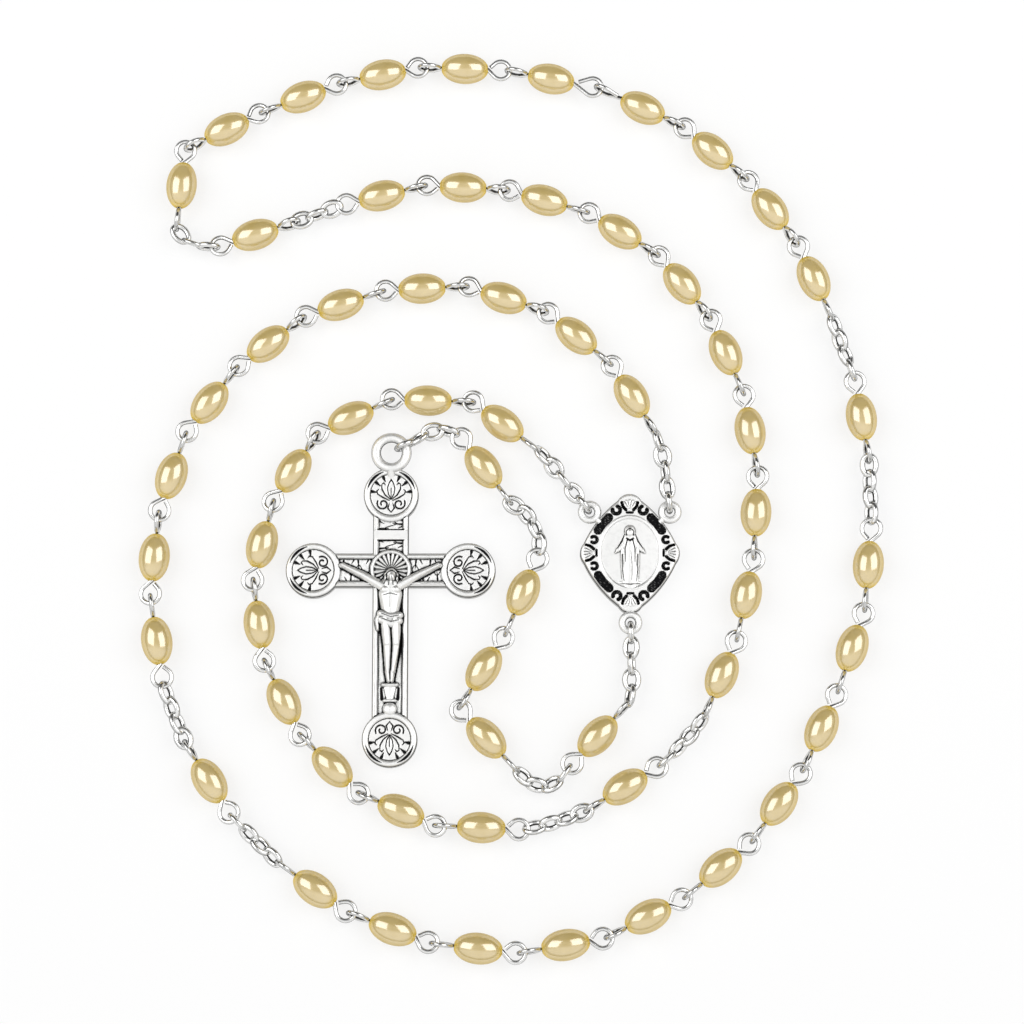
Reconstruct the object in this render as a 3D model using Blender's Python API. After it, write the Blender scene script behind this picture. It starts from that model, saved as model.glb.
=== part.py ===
"""Five-decade rosary of oval pearl beads, laid flat in a loose spiral.

Every bead sits on its own wire pin with an eye bent at both ends. Neighbouring
eyes are linked, short cable chains part the groups of beads, a cast medal joins
the loop to the pendant, and a cast crucifix ends the pendant. The medal's back
lies on z = 0 with its middle at the origin, and +Y points to the medal's top.
"""
import math

import bmesh
import bpy
from mathutils import Matrix, Vector

MM = 0.001
OBJECT_NAME = "rosary"

# Beads and the wire pins through them
BEAD_LENGTH = 6.1 * MM
BEAD_DIAMETER = 4.0 * MM
BEAD_END = 1.0 * MM
PIN_WIRE = 0.55 * MM
EYE_OUTER = 3.0 * MM
EYE_SLIT = 0.15 * MM
NECK = 0.5 * MM

# Cable chain links and the jump rings at the castings
LINK_LENGTH = 3.1 * MM
LINK_WIDTH = 2.3 * MM
LINK_WIRE = 0.55 * MM
JUMP_OUTER = 2.9 * MM
JUMP_WIRE = 0.6 * MM
CHAIN_SAG = 0.2 * MM
TABLE_GAP = 0.05 * MM

# Fits: least play in an interlock that moves, how slack each decade lies, and
# the seat of the links of one chain in each other
LOOSE = 0.3 * MM
SLACK = {1: 0.55 * MM, 2: 0.25 * MM, 3: 0.15 * MM, 4: 0.0 * MM, 5: 0.2 * MM}
SEAT = 0.1 * MM

# Counts
BEADS_IN_DECADE = 10
CHAIN_LINKS = 4
SHORT_CHAIN_LINKS = 3
SIDE_CHAIN_LINKS = 5
MIDDLE_BEAD = 5

# Medal, a rounded lozenge with an oval picture field and three ears
MEDAL_WIDTH = 12.9 * MM
MEDAL_HEIGHT = 15.6 * MM
MEDAL_THICKNESS = 1.9 * MM
MEDAL_POWER = 1.45
MEDAL_BORDER = 0.55 * MM
MEDAL_FLOOR = 1.2 * MM
OVAL_WIDTH = 8.1 * MM
OVAL_HEIGHT = 9.9 * MM
OVAL_RISE = 0.15 * MM
OVAL_RIM = 0.45 * MM
OVAL_FLOOR = 1.45 * MM
FAN_RADIUS = 0.85 * MM
EAR_OUTER = 2.86 * MM
EAR_WIRE = 0.72 * MM
EAR_WELD = 0.15 * MM
EAR_ANGLES = {"left": 134.0, "right": 46.0, "bottom": -90.0}
EAR_NECK = 0.45 * MM

# Standing figure on the medal
ROBE_HEM = 1.35 * MM
ROBE_SHOULDER = 0.6 * MM
ROBE_LENGTH = 5.6 * MM
FIGURE_HEAD = 0.62 * MM
FIGURE_DEPTH = 0.45
SLEEVE = 0.3 * MM
HAND_SPREAD = 1.62 * MM

# Crucifix: bars with raised borders, a round lobe on each end and a top ring
RING_OUTER = 5.0 * MM
RING_WIRE = 1.0 * MM
LOBE_RADIUS = 3.55 * MM
LOBE_RIM = 0.6 * MM
SHAFT_WIDTH = 4.6 * MM
ARM_WIDTH = 4.4 * MM
BAR_BORDER = 0.6 * MM
CROSS_THICKNESS = 1.6 * MM
CROSS_FLOOR = 1.2 * MM
RING_TO_TOP_LOBE = 5.5 * MM
TOP_LOBE_TO_ARMS = 9.9 * MM
ARMS_TO_BOTTOM_LOBE = 21.9 * MM
ARM_LOBE_REACH = 10.0 * MM
PALMETTE = 0.8 * MM
PETAL_TURNS = (-60.0, 0.0, 60.0)
HALO_RADIUS = 2.5 * MM
PLAQUE_WIDTH = 4.0 * MM
PLAQUE_HEIGHT = 1.3 * MM
PLAQUE_DROP = 4.7 * MM

# Figure on the crucifix, measured down from the middle of the arms
CORPUS_HEAD = 0.95 * MM
HEAD_DROP = 0.9 * MM
SHOULDER_DROP = 2.2 * MM
SHOULDER_SPREAD = 1.1 * MM
HAND_REACH = 6.7 * MM
HAND_LIFT = 0.6 * MM
TORSO_LENGTH = 5.2 * MM
CHEST = 1.55 * MM
WAIST = 1.05 * MM
LOINCLOTH = 1.6 * MM
LEG_LENGTH = 7.6 * MM
THIGH = 1.25 * MM
FOOT = 0.5 * MM
LIMB_WIRE = 0.9 * MM
BODY_DEPTH = 0.6

# Seams closed after a cut or a join, and the sharpest edge that is shaded smooth
WELD_DISTANCE = 0.001 * MM
SHARP_EDGE = 40.0

# Smallest and largest size of the loop's route, and steps of the search for the size that closes
ROUTE_SIZES = (0.5, 2.0)
CLOSING_STEPS = 40

# Facets
BEAD_SEGMENTS = 7
BEAD_BANDS = 4
RING_STEP = 60.0
DISC_SEGMENTS = 16
OUTLINE_POINTS = 28
TORUS_SEGMENTS = 10
TUBE_SIDES = 5
LIMB_SEGMENTS = 6
LIMB_RINGS = 4
CURVE_STEPS = 10

# Route of the loop on the table, in millimetres from the medal's middle
LOOP_ROUTE = [
    (-10.5, 12.0), (-16.0, 17.5), (-21.0, 20.0), (-26.0, 20.5), (-31.5, 20.0), (-36.5, 18.5),
    (-41.0, 15.0), (-44.0, 11.0), (-48.0, 0.5), (-48.0, -9.5), (-44.5, -19.5), (-38.5, -28.0),
    (-29.5, -33.5), (-19.0, -36.0), (-9.5, -34.5), (-0.5, -30.5), (7.5, -23.5), (12.0, -16.0),
    (15.0, -5.5), (16.5, 5.0), (16.0, 15.5), (13.0, 26.5), (7.0, 36.0), (-0.5, 43.0),
    (-11.0, 47.0), (-21.5, 49.0), (-32.0, 48.0), (-40.5, 45.0), (-48.5, 42.0), (-54.5, 40.5),
    (-59.0, 42.5), (-58.5, 48.5), (-58.0, 54.0), (-53.0, 56.5), (-43.0, 61.0), (-31.5, 64.5),
    (-20.5, 65.0), (-10.0, 63.5), (1.0, 60.5), (10.5, 54.5), (18.0, 47.0), (24.0, 37.5),
    (27.5, 28.0), (30.5, 18.5), (31.0, 9.0), (31.0, -0.5), (29.0, -11.5), (24.5, -22.0),
    (19.5, -32.0), (12.5, -39.5), (3.5, -46.0), (-6.5, -50.0), (-18.5, -51.0), (-29.5, -48.5),
    (-39.5, -44.0), (-47.0, -37.5), (-53.5, -30.5), (-58.0, -21.5), (-61.0, -12.0),
    (-61.5, -1.0), (-59.5, 10.0), (-55.5, 19.0), (-48.0, 27.0), (-38.5, 33.0), (-28.0, 35.0),
    (-16.5, 34.5), (-6.0, 28.5), (0.5, 21.0), (4.0, 14.0)]

# Headings of the pendant's links and beads, in degrees, in order from the medal
PENDANT_HEADINGS = {
    "our_father_5": [272.0, 270.0, 272.0, 268.0, 262.0, 227.0],
    "hail_mary_1": [235.0, 210.0, 165.0, 138.0, 133.0],
    "hail_mary_2": [58.0],
    "hail_mary_3": [67.0, 95.0, 110.0, 130.0, 150.0],
    "our_father_6": [127.0, 164.0, 191.0, 213.0, 204.0],
}
CRUCIFIX_CONTACT = 210.0

# Worked out from the sizes above
EYE_RADIUS = (EYE_OUTER - PIN_WIRE) / 2
BEAD_PITCH_LENGTH = BEAD_LENGTH + 2 * (NECK + 2 * EYE_RADIUS)
BEAD_HEIGHT = BEAD_DIAMETER / 2
CASTING_HEIGHT = JUMP_OUTER / 2 + TABLE_GAP
RING_RADIUS = (RING_OUTER - RING_WIRE) / 2
EAR_RADIUS = (EAR_OUTER - EAR_WIRE) / 2

SIZES = {
    "bead": (BEAD_PITCH_LENGTH, PIN_WIRE),
    "link": (LINK_LENGTH - LINK_WIRE, LINK_WIRE),
    "jump": (JUMP_OUTER - JUMP_WIRE, JUMP_WIRE),
}
MATERIALS = {
    "pearl": ((0.86, 0.74, 0.47, 1.0), 0.22, 0.0),
    "antique_silver": ((0.72, 0.72, 0.71, 1.0), 0.25, 1.0),
}


def clear_scene():
    """Remove what the start-up file holds."""
    for thing in list(bpy.data.objects):
        bpy.data.objects.remove(thing, do_unlink=True)


def make_material(name):
    """Principled material of one finish."""
    colour, roughness, metallic = MATERIALS[name]
    material = bpy.data.materials.new(name)
    material.use_nodes = True
    shader = material.node_tree.nodes["Principled BSDF"]
    shader.inputs["Base Color"].default_value = colour
    shader.inputs["Roughness"].default_value = roughness
    shader.inputs["Metallic"].default_value = metallic
    return material


def add_object(name, data, matrix=None):
    """Put a mesh or a curve into the scene."""
    thing = bpy.data.objects.new(name, data)
    bpy.context.scene.collection.objects.link(thing)
    thing.matrix_world = matrix or Matrix.Identity(4)
    return thing


def evaluated_mesh(thing):
    """Mesh of an object with its modifiers, with the object itself removed."""
    bpy.context.view_layer.update()
    graph = bpy.context.evaluated_depsgraph_get()
    mesh = bpy.data.meshes.new_from_object(thing.evaluated_get(graph))
    matrix = thing.matrix_world.copy()
    bpy.data.objects.remove(thing, do_unlink=True)
    form = bmesh.new()
    form.from_mesh(mesh)
    bmesh.ops.remove_doubles(form, verts=form.verts, dist=WELD_DISTANCE)
    bmesh.ops.transform(form, matrix=matrix, verts=form.verts)
    form.to_mesh(mesh)
    form.free()
    return mesh


def combine(base, others, operation="UNION"):
    """Join others to base, or cut them out of it, and return the new object."""
    for other in others:
        step = base.modifiers.new(operation.lower(), "BOOLEAN")
        step.operation = operation
        step.solver = "MANIFOLD"
        step.object = other
    mesh = evaluated_mesh(base)
    for other in others:
        bpy.data.objects.remove(other, do_unlink=True)
    return add_object("form", mesh)


def bmesh_object(build):
    """Object of a shape that a function fills into a bmesh."""
    form = bmesh.new()
    build(form)
    mesh = bpy.data.meshes.new("form")
    form.to_mesh(mesh)
    form.free()
    return add_object("form", mesh)


def block(low, high):
    """Box between two corners."""
    low = Vector(low)
    high = Vector(high)
    place = Matrix.Translation((low + high) / 2) @ Matrix.Diagonal((*(high - low), 1.0))
    return bmesh_object(lambda form: bmesh.ops.create_cube(form, size=1.0, matrix=place))


def disc(centre, radius, bottom, top, segments=DISC_SEGMENTS):
    """Upright cylinder between two heights."""
    place = Matrix.Translation((centre[0], centre[1], (bottom + top) / 2))
    return bmesh_object(lambda form: bmesh.ops.create_cone(
        form, cap_ends=True, segments=segments, radius1=radius, radius2=radius,
        depth=top - bottom, matrix=place))


def ball(centre, radii):
    """Ellipsoid with its poles along Y."""
    turn = Matrix.Rotation(math.pi / 2, 4, "X")
    place = Matrix.Translation(centre) @ Matrix.Diagonal((*radii, 1.0)) @ turn
    return bmesh_object(lambda form: bmesh.ops.create_uvsphere(
        form, u_segments=LIMB_SEGMENTS, v_segments=LIMB_RINGS, radius=1.0, matrix=place))


def spun_bead(form):
    """Oval bead along X, turned from its profile, with a flat ring of glass round each hole."""
    widest = math.acos(BEAD_END / BEAD_DIAMETER)
    middle = BEAD_PITCH_LENGTH / 2
    corners = []
    for step in range(BEAD_BANDS + 1):
        angle = widest * (2 * step / BEAD_BANDS - 1)
        along = BEAD_LENGTH / 2 * math.sin(angle) / math.sin(widest)
        corners.append(form.verts.new((middle + along, 0.0, -BEAD_DIAMETER / 2 * math.cos(angle))))
    edges = [form.edges.new(pair) for pair in zip(corners, corners[1:])]
    bmesh.ops.spin(form, geom=corners + edges, cent=(0.0, 0.0, 0.0), axis=(1.0, 0.0, 0.0),
                   angle=2 * math.pi, steps=BEAD_SEGMENTS, use_merge=True)
    bmesh.ops.holes_fill(form, edges=form.edges, sides=BEAD_SEGMENTS)
    bmesh.ops.recalc_face_normals(form, faces=form.faces)


def taper(start, end, start_radius, end_radius, depth):
    """Cone lying along Y, flattened in height by depth."""
    middle = (Vector(start) + Vector(end)) / 2
    turn = Matrix.Rotation(math.pi / 2, 4, "X")
    place = Matrix.Translation(middle) @ Matrix.Diagonal((1.0, 1.0, depth, 1.0)) @ turn
    return bmesh_object(lambda form: bmesh.ops.create_cone(
        form, cap_ends=True, segments=LIMB_SEGMENTS, radius1=end_radius, radius2=start_radius,
        depth=abs(start[1] - end[1]), matrix=place))


def tube(points, wire, closed=False):
    """Round wire along points."""
    curve = bpy.data.curves.new("wire", "CURVE")
    curve.dimensions = "3D"
    curve.bevel_depth = wire / 2
    curve.bevel_resolution = 0
    curve.use_fill_caps = not closed
    spline = curve.splines.new("POLY")
    spline.points.add(len(points) - 1)
    spline.use_cyclic_u = closed
    for spot, point in zip(spline.points, points):
        spot.co = (*point, 1.0)
    mesh = evaluated_mesh(add_object("wire", curve))
    bpy.data.curves.remove(curve)
    return add_object("form", mesh)


def plate(outline, bottom, top):
    """Flat outline given a thickness."""
    curve = bpy.data.curves.new("outline", "CURVE")
    curve.dimensions = "2D"
    curve.fill_mode = "BOTH"
    curve.extrude = (top - bottom) / 2
    spline = curve.splines.new("POLY")
    spline.points.add(len(outline) - 1)
    spline.use_cyclic_u = True
    for spot, point in zip(spline.points, outline):
        spot.co = (*point, 0.0, 1.0)
    lift = Matrix.Translation((0.0, 0.0, (bottom + top) / 2))
    mesh = evaluated_mesh(add_object("outline", curve, lift))
    bpy.data.curves.remove(curve)
    return add_object("form", mesh)


def cast_ring(centre, radius, wire, height):
    """Ring lying flat at a height."""
    bpy.ops.mesh.primitive_torus_add(
        location=(centre[0], centre[1], height), major_radius=radius, minor_radius=wire / 2,
        major_segments=TORUS_SEGMENTS, minor_segments=TUBE_SIDES)
    ring = bpy.context.object
    mesh = evaluated_mesh(ring)
    return add_object("form", mesh)


def eye_points(centre, base_angle, plane):
    """Points of one bent eye, from the pin round to the slit, in a plane (0 flat, 1 upright)."""
    slit = math.degrees(2 * math.asin((PIN_WIRE + EYE_SLIT) / (2 * EYE_RADIUS)))
    angles = [base_angle + RING_STEP * step for step in range(round(360.0 / RING_STEP) - 1)]
    angles.append(base_angle + 360.0 - slit)
    points = []
    for angle in angles:
        along = EYE_RADIUS * math.cos(math.radians(angle))
        across = EYE_RADIUS * math.sin(math.radians(angle))
        points.append((centre + along, 0.0, across) if plane else (centre + along, across, 0.0))
    return points


def bead_form():
    """Bead on its pin along +X: upright eye at the start, flat eye at the end."""
    first_eye = eye_points(EYE_RADIUS, 0.0, 1)
    last_eye = eye_points(BEAD_PITCH_LENGTH - EYE_RADIUS, 180.0, 0)
    pin = tube(list(reversed(first_eye)) + last_eye, PIN_WIRE)
    return combine(bmesh_object(spun_bead), [pin])


def ring_form(kind):
    """Closed link or jump ring along +X, lying flat."""
    length, wire = SIZES[kind]
    width = LINK_WIDTH - LINK_WIRE if kind == "link" else length
    points = []
    for step in range(round(360.0 / RING_STEP)):
        angle = math.radians(RING_STEP * step)
        points.append((length / 2 * (1 - math.cos(angle)), width / 2 * math.sin(angle), 0.0))
    return tube(points, wire, closed=True)


def unit(name, before=(), after=(), beads=1, slack=0.0):
    """One piece of the strand: links before the bead, the bead or beads, and links after."""
    kinds = [*before, *["bead"] * beads, *after]
    return {"name": name, "kinds": kinds, "lead": len(before), "slack": 0.0 if after else slack}


def decade(number, first_chain, last_chain):
    """The ten units of a decade in order, with the chains at its two ends."""
    units = []
    for bead in range(1, BEADS_IN_DECADE + 1):
        before = first_chain if bead == 1 else ()
        after = last_chain if bead == BEADS_IN_DECADE else ()
        units.append(unit(f"decade_{number}_bead_{bead:02d}", before, after, slack=SLACK[number]))
    return units


def reverse_decade(number, first_chain, last_chain):
    """A decade walked from its tenth bead to its first."""
    units = []
    for bead in range(BEADS_IN_DECADE, 0, -1):
        before = first_chain if bead == BEADS_IN_DECADE else ()
        after = last_chain if bead == 1 else ()
        units.append(unit(f"decade_{number}_bead_{bead:02d}", before, after, slack=SLACK[number]))
    return units


def strands():
    """Units of the two arms of the loop and of the pendant, each in order from the medal."""
    chain = ["link"] * CHAIN_LINKS
    short_chain = ["link"] * SHORT_CHAIN_LINKS
    side_chain = ["jump"] + ["link"] * (SIDE_CHAIN_LINKS - 1)
    drop_chain = ["jump"] + chain
    third = decade(3, short_chain, ())
    pair_name = f"decade_3_beads_{MIDDLE_BEAD:02d}_{MIDDLE_BEAD + 1:02d}"
    third_left = third[:MIDDLE_BEAD - 1] + [unit(pair_name, beads=2, slack=SLACK[3])]
    third_right = reverse_decade(3, chain, ())[:BEADS_IN_DECADE - MIDDLE_BEAD - 1]
    left = decade(1, side_chain, chain) + [unit("our_father_1")]
    left += decade(2, chain, short_chain) + [unit("our_father_2")] + third_left
    right = reverse_decade(5, side_chain, chain) + [unit("our_father_4")]
    right += reverse_decade(4, chain, chain) + [unit("our_father_3")] + third_right
    pendant = [unit("our_father_5", drop_chain), unit("hail_mary_1", chain), unit("hail_mary_2"),
               unit("hail_mary_3", (), chain),
               unit("our_father_6", (), chain[1:] + ["jump"])]
    return left, right, pendant


def lap(kind, next_wire, play):
    """How far the next piece's wire sits inside the end of this one."""
    return (SIZES[kind][1] + next_wire) / 2 + play


def lay_out(units, end_wire):
    """Elements of a strand with the reach of each to the next one."""
    elements = []
    for index, piece in enumerate(units):
        for spot, kind in enumerate(piece["kinds"]):
            elements.append({"unit": index, "spot": spot, "kind": kind})
    for here, after in zip(elements, elements[1:]):
        same = here["unit"] == after["unit"]
        play = -SEAT if same else LOOSE + units[here["unit"]]["slack"]
        here["reach"] = SIZES[here["kind"]][0] - lap(here["kind"], SIZES[after["kind"]][1], play)
    last = elements[-1]
    last["reach"] = SIZES[last["kind"]][0]
    if end_wire:
        last["reach"] -= lap(last["kind"], end_wire, LOOSE)
    return elements


def set_heights(elements, end_height):
    """Height of every element's start: level at the beads, sagging between them."""
    knots = [(0, CASTING_HEIGHT)]
    for spot, element in enumerate(elements):
        if element["kind"] == "bead":
            knots += [(spot, BEAD_HEIGHT), (spot + 1, BEAD_HEIGHT)]
    knots.append((len(elements), end_height))
    heights = [0.0] * (len(elements) + 1)
    for (start, low), (end, high) in zip(knots, knots[1:]):
        for spot in range(start, end + 1):
            share = (spot - start) / max(end - start, 1)
            sag = 4 * CHAIN_SAG * share * (1 - share) if end - start > 1 else 0.0
            heights[spot] = low + (high - low) * share - sag
    for spot, element in enumerate(elements):
        element["rise"] = heights[spot + 1] - heights[spot]
    return heights


def smooth_route(points):
    """Points of a smooth curve through a route."""
    ends = [points[0]] + points + [points[-1]]
    curve = []
    for one, two, three, four in zip(ends, ends[1:], ends[2:], ends[3:]):
        for step in range(CURVE_STEPS):
            part = step / CURVE_STEPS
            curve.append(0.5 * (2 * two + (three - one) * part
                                + (2 * one - 5 * two + 4 * three - four) * part ** 2
                                + (3 * two - one - 3 * three + four) * part ** 3))
    curve.append(points[-1])
    return curve


def walk(curve, reaches):
    """Points on a curve at given straight distances from one to the next, and the length used."""
    places = [curve[0]]
    spot = 0
    used = 0.0
    for reach in reaches:
        here = places[-1]
        while spot + 2 < len(curve) and (curve[spot + 1] - here).length < reach:
            used += (curve[spot + 1] - curve[spot]).length
            spot += 1
        start = curve[spot]
        step = curve[spot + 1] - start
        away = start - here
        slope = away.dot(step) / step.dot(step)
        rest = (away.dot(away) - reach ** 2) / step.dot(step)
        share = -slope + math.sqrt(max(slope ** 2 - rest, 0.0))
        places.append(start + step * share)
    return places, used + step.length * share


def level_reach(element):
    """An element's reach seen from above."""
    return math.sqrt(element["reach"] ** 2 - element["rise"] ** 2)


def loop_places(left, right, starts):
    """Places of both arms on the route, drawn to the size at which the loop just closes."""
    left_reaches = [level_reach(element) for element in left]
    right_reaches = [level_reach(element) for element in right]
    small, large = ROUTE_SIZES
    for _ in range(CLOSING_STEPS):
        size = (small + large) / 2
        inner = [Vector(point) * MM * size for point in LOOP_ROUTE]
        curve = smooth_route([starts["left"]] + inner + [starts["right"]])
        length = sum((two - one).length for one, two in zip(curve, curve[1:]))
        left_places, left_used = walk(curve, left_reaches)
        right_places, right_used = walk(curve[::-1], right_reaches)
        if length - left_used - right_used > PIN_WIRE + LOOSE:
            large = size
        else:
            small = size
    return left_places, right_places


def pendant_places(units, elements, start):
    """Places along the pendant from its headings."""
    places = [start]
    headings = [angle for piece in units for angle in PENDANT_HEADINGS[piece["name"]]]
    for element, angle in zip(elements, headings):
        turn = math.radians(angle)
        step = Vector((math.cos(turn), math.sin(turn))) * level_reach(element)
        places.append(places[-1] + step)
    return places


def frame_at(origin, along):
    """Frame with X along a direction, Y level and Z up."""
    side = Vector((0.0, 0.0, 1.0)).cross(along).normalized()
    top = along.cross(side)
    return Matrix.Translation(origin) @ Matrix((along, side, top)).transposed().to_4x4()


def roll_of(piece, spot, upright_end):
    """Turn of a ring about its own length: eyes and links cross from one to the next."""
    lead = piece["lead"]
    beads = piece["kinds"].count("bead")
    if spot < lead:
        step = 180.0 * round(lead / 2) / lead
        return 90.0 + step * spot
    tail = len(piece["kinds"]) - lead - beads
    if spot < lead + beads:
        return 0.0
    half_turns = round(tail / 2) * 180.0 - (90.0 if upright_end else 0.0)
    return half_turns / tail * (spot - lead - beads + 1)


def place_strand(units, elements, places, heights, parent, first_wire, upright_end=False):
    """Fill in each unit's frame, pivot, swing axis and the frames of its elements."""
    for spot, element in enumerate(elements):
        start = Vector((*places[spot], heights[spot]))
        end = Vector((*places[spot + 1], heights[spot + 1]))
        along = (end - start).normalized()
        piece = units[element["unit"]]
        if element["spot"] == 0:
            inset = (first_wire + SIZES[element["kind"]][1]) / 2 + LOOSE
            piece["parent"] = parent
            piece["pivot"] = start + along * inset
            piece["frame"] = frame_at(piece["pivot"], along)
            piece["forms"] = []
        last_unit = element["unit"] == len(units) - 1
        roll = roll_of(piece, element["spot"], upright_end and last_unit)
        turn = Matrix.Rotation(math.radians(roll), 4, "X")
        piece["forms"].append((element["kind"], frame_at(start, along) @ turn))
        if spot + 1 < len(elements) and elements[spot + 1]["unit"] != element["unit"]:
            parent = piece["name"]
            first_wire = SIZES[element["kind"]][1]
    return units


def outline_point(angle, inset=0.0):
    """Point on the medal's outline in a direction given in degrees."""
    turn = math.radians(angle)
    half_width = MEDAL_WIDTH / 2 - inset
    half_height = MEDAL_HEIGHT / 2 - inset
    size = (abs(math.cos(turn)) / half_width) ** MEDAL_POWER
    size += (abs(math.sin(turn)) / half_height) ** MEDAL_POWER
    return Vector((math.cos(turn), math.sin(turn))) * size ** (-1 / MEDAL_POWER)


def lozenge(inset):
    """The medal's outline, drawn in by an inset."""
    return [outline_point(360.0 * step / OUTLINE_POINTS, inset) for step in range(OUTLINE_POINTS)]


def oval(inset):
    """The picture field's outline, drawn in by an inset."""
    points = []
    for step in range(OUTLINE_POINTS):
        angle = 2 * math.pi * step / OUTLINE_POINTS
        points.append(Vector(((OVAL_WIDTH / 2 - inset) * math.cos(angle),
                              (OVAL_HEIGHT / 2 - inset) * math.sin(angle))))
    return points


def ear_centre(side):
    """Middle of an ear, standing just outside the outline."""
    edge = outline_point(EAR_ANGLES[side])
    return edge + edge.normalized() * (EAR_OUTER / 2 - EAR_WELD)


def ear_parts(side):
    """Ear ring and the short neck that carries it."""
    centre = ear_centre(side)
    edge = outline_point(EAR_ANGLES[side])
    inward = -edge.normalized()
    start = centre + inward * EAR_RADIUS
    end = edge + inward * EAR_OUTER / 2
    neck = tube([(*start, CASTING_HEIGHT), (*end, CASTING_HEIGHT)], EAR_NECK * 2)
    return [cast_ring(centre, EAR_RADIUS, EAR_WIRE, CASTING_HEIGHT), neck]


def medal_figure():
    """Standing figure in a long robe, arms lowered and held out."""
    hem = -OVAL_HEIGHT / 2 + OVAL_RIM
    shoulder = hem + ROBE_LENGTH
    level = OVAL_FLOOR
    parts = [taper((0.0, shoulder, level), (0.0, hem, level), ROBE_SHOULDER, ROBE_HEM, FIGURE_DEPTH)]
    parts.append(ball((0.0, shoulder + FIGURE_HEAD, level), (FIGURE_HEAD, FIGURE_HEAD, FIGURE_HEAD)))
    for side in (-1, 1):
        hand = (side * HAND_SPREAD, (hem + shoulder) / 2, level)
        parts.append(tube([(0.0, shoulder - SLEEVE, level), hand], SLEEVE * 2))
    return parts


def make_medal():
    """Medal: bordered lozenge, raised oval frame, four fans, three ears and the figure."""
    body = plate(lozenge(0.0), 0.0, MEDAL_THICKNESS)
    pocket = plate(lozenge(MEDAL_BORDER), MEDAL_FLOOR, 2 * MEDAL_THICKNESS)
    body = combine(body, [pocket], "DIFFERENCE")
    top = MEDAL_THICKNESS + OVAL_RISE
    adds = [plate(oval(0.0), MEDAL_FLOOR / 2, top)]
    fan_x = (OVAL_WIDTH + MEDAL_WIDTH) / 4
    fan_y = (OVAL_HEIGHT + MEDAL_HEIGHT) / 4
    for centre in ((fan_x, 0.0), (-fan_x, 0.0), (0.0, fan_y), (0.0, -fan_y)):
        adds.append(disc(centre, FAN_RADIUS, MEDAL_FLOOR / 2, MEDAL_THICKNESS, LIMB_SEGMENTS))
    body = combine(body, adds)
    body = combine(body, [plate(oval(OVAL_RIM), OVAL_FLOOR, 2 * top)], "DIFFERENCE")
    parts = medal_figure()
    for side in EAR_ANGLES:
        parts += ear_parts(side)
    return combine(body, parts)


def lobes():
    """Middles of the crucifix's four lobes, measured from its ring, with their outward turns."""
    top = -RING_TO_TOP_LOBE
    arms = top - TOP_LOBE_TO_ARMS
    bottom = arms - ARMS_TO_BOTTOM_LOBE
    return {"top": (0.0, top, 90.0), "left": (-ARM_LOBE_REACH, arms, 180.0),
            "right": (ARM_LOBE_REACH, arms, 0.0), "bottom": (0.0, bottom, -90.0)}


def palmette(centre_x, centre_y, outward):
    """Three low petals fanned out on a lobe."""
    petals = []
    for spread in PETAL_TURNS:
        turn = math.radians(outward + spread)
        spot = (centre_x + PALMETTE * math.cos(turn), centre_y + PALMETTE * math.sin(turn), CROSS_FLOOR)
        petals.append(ball(spot, (PALMETTE, PALMETTE, CROSS_THICKNESS - CROSS_FLOOR)))
    return petals


def corpus(arms):
    """Figure on the cross: head, arms, torso, cloth and legs."""
    level = CROSS_THICKNESS
    shoulder = arms - SHOULDER_DROP
    waist = shoulder - TORSO_LENGTH
    foot = waist - LEG_LENGTH
    parts = [ball((0.0, arms - HEAD_DROP, level), (CORPUS_HEAD, CORPUS_HEAD, CORPUS_HEAD))]
    parts.append(taper((0.0, shoulder, level), (0.0, waist, level), CHEST, WAIST, BODY_DEPTH))
    parts.append(ball((0.0, waist, level), (LOINCLOTH, LOINCLOTH, LOINCLOTH * BODY_DEPTH)))
    parts.append(taper((0.0, waist, level), (0.0, foot, level), THIGH, FOOT, BODY_DEPTH))
    for side in (-1, 1):
        joint = (side * SHOULDER_SPREAD, shoulder - LIMB_WIRE, level)
        hand = (side * HAND_REACH, arms + HAND_LIFT, level)
        parts.append(tube([joint, hand], LIMB_WIRE))
    return parts


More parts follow.
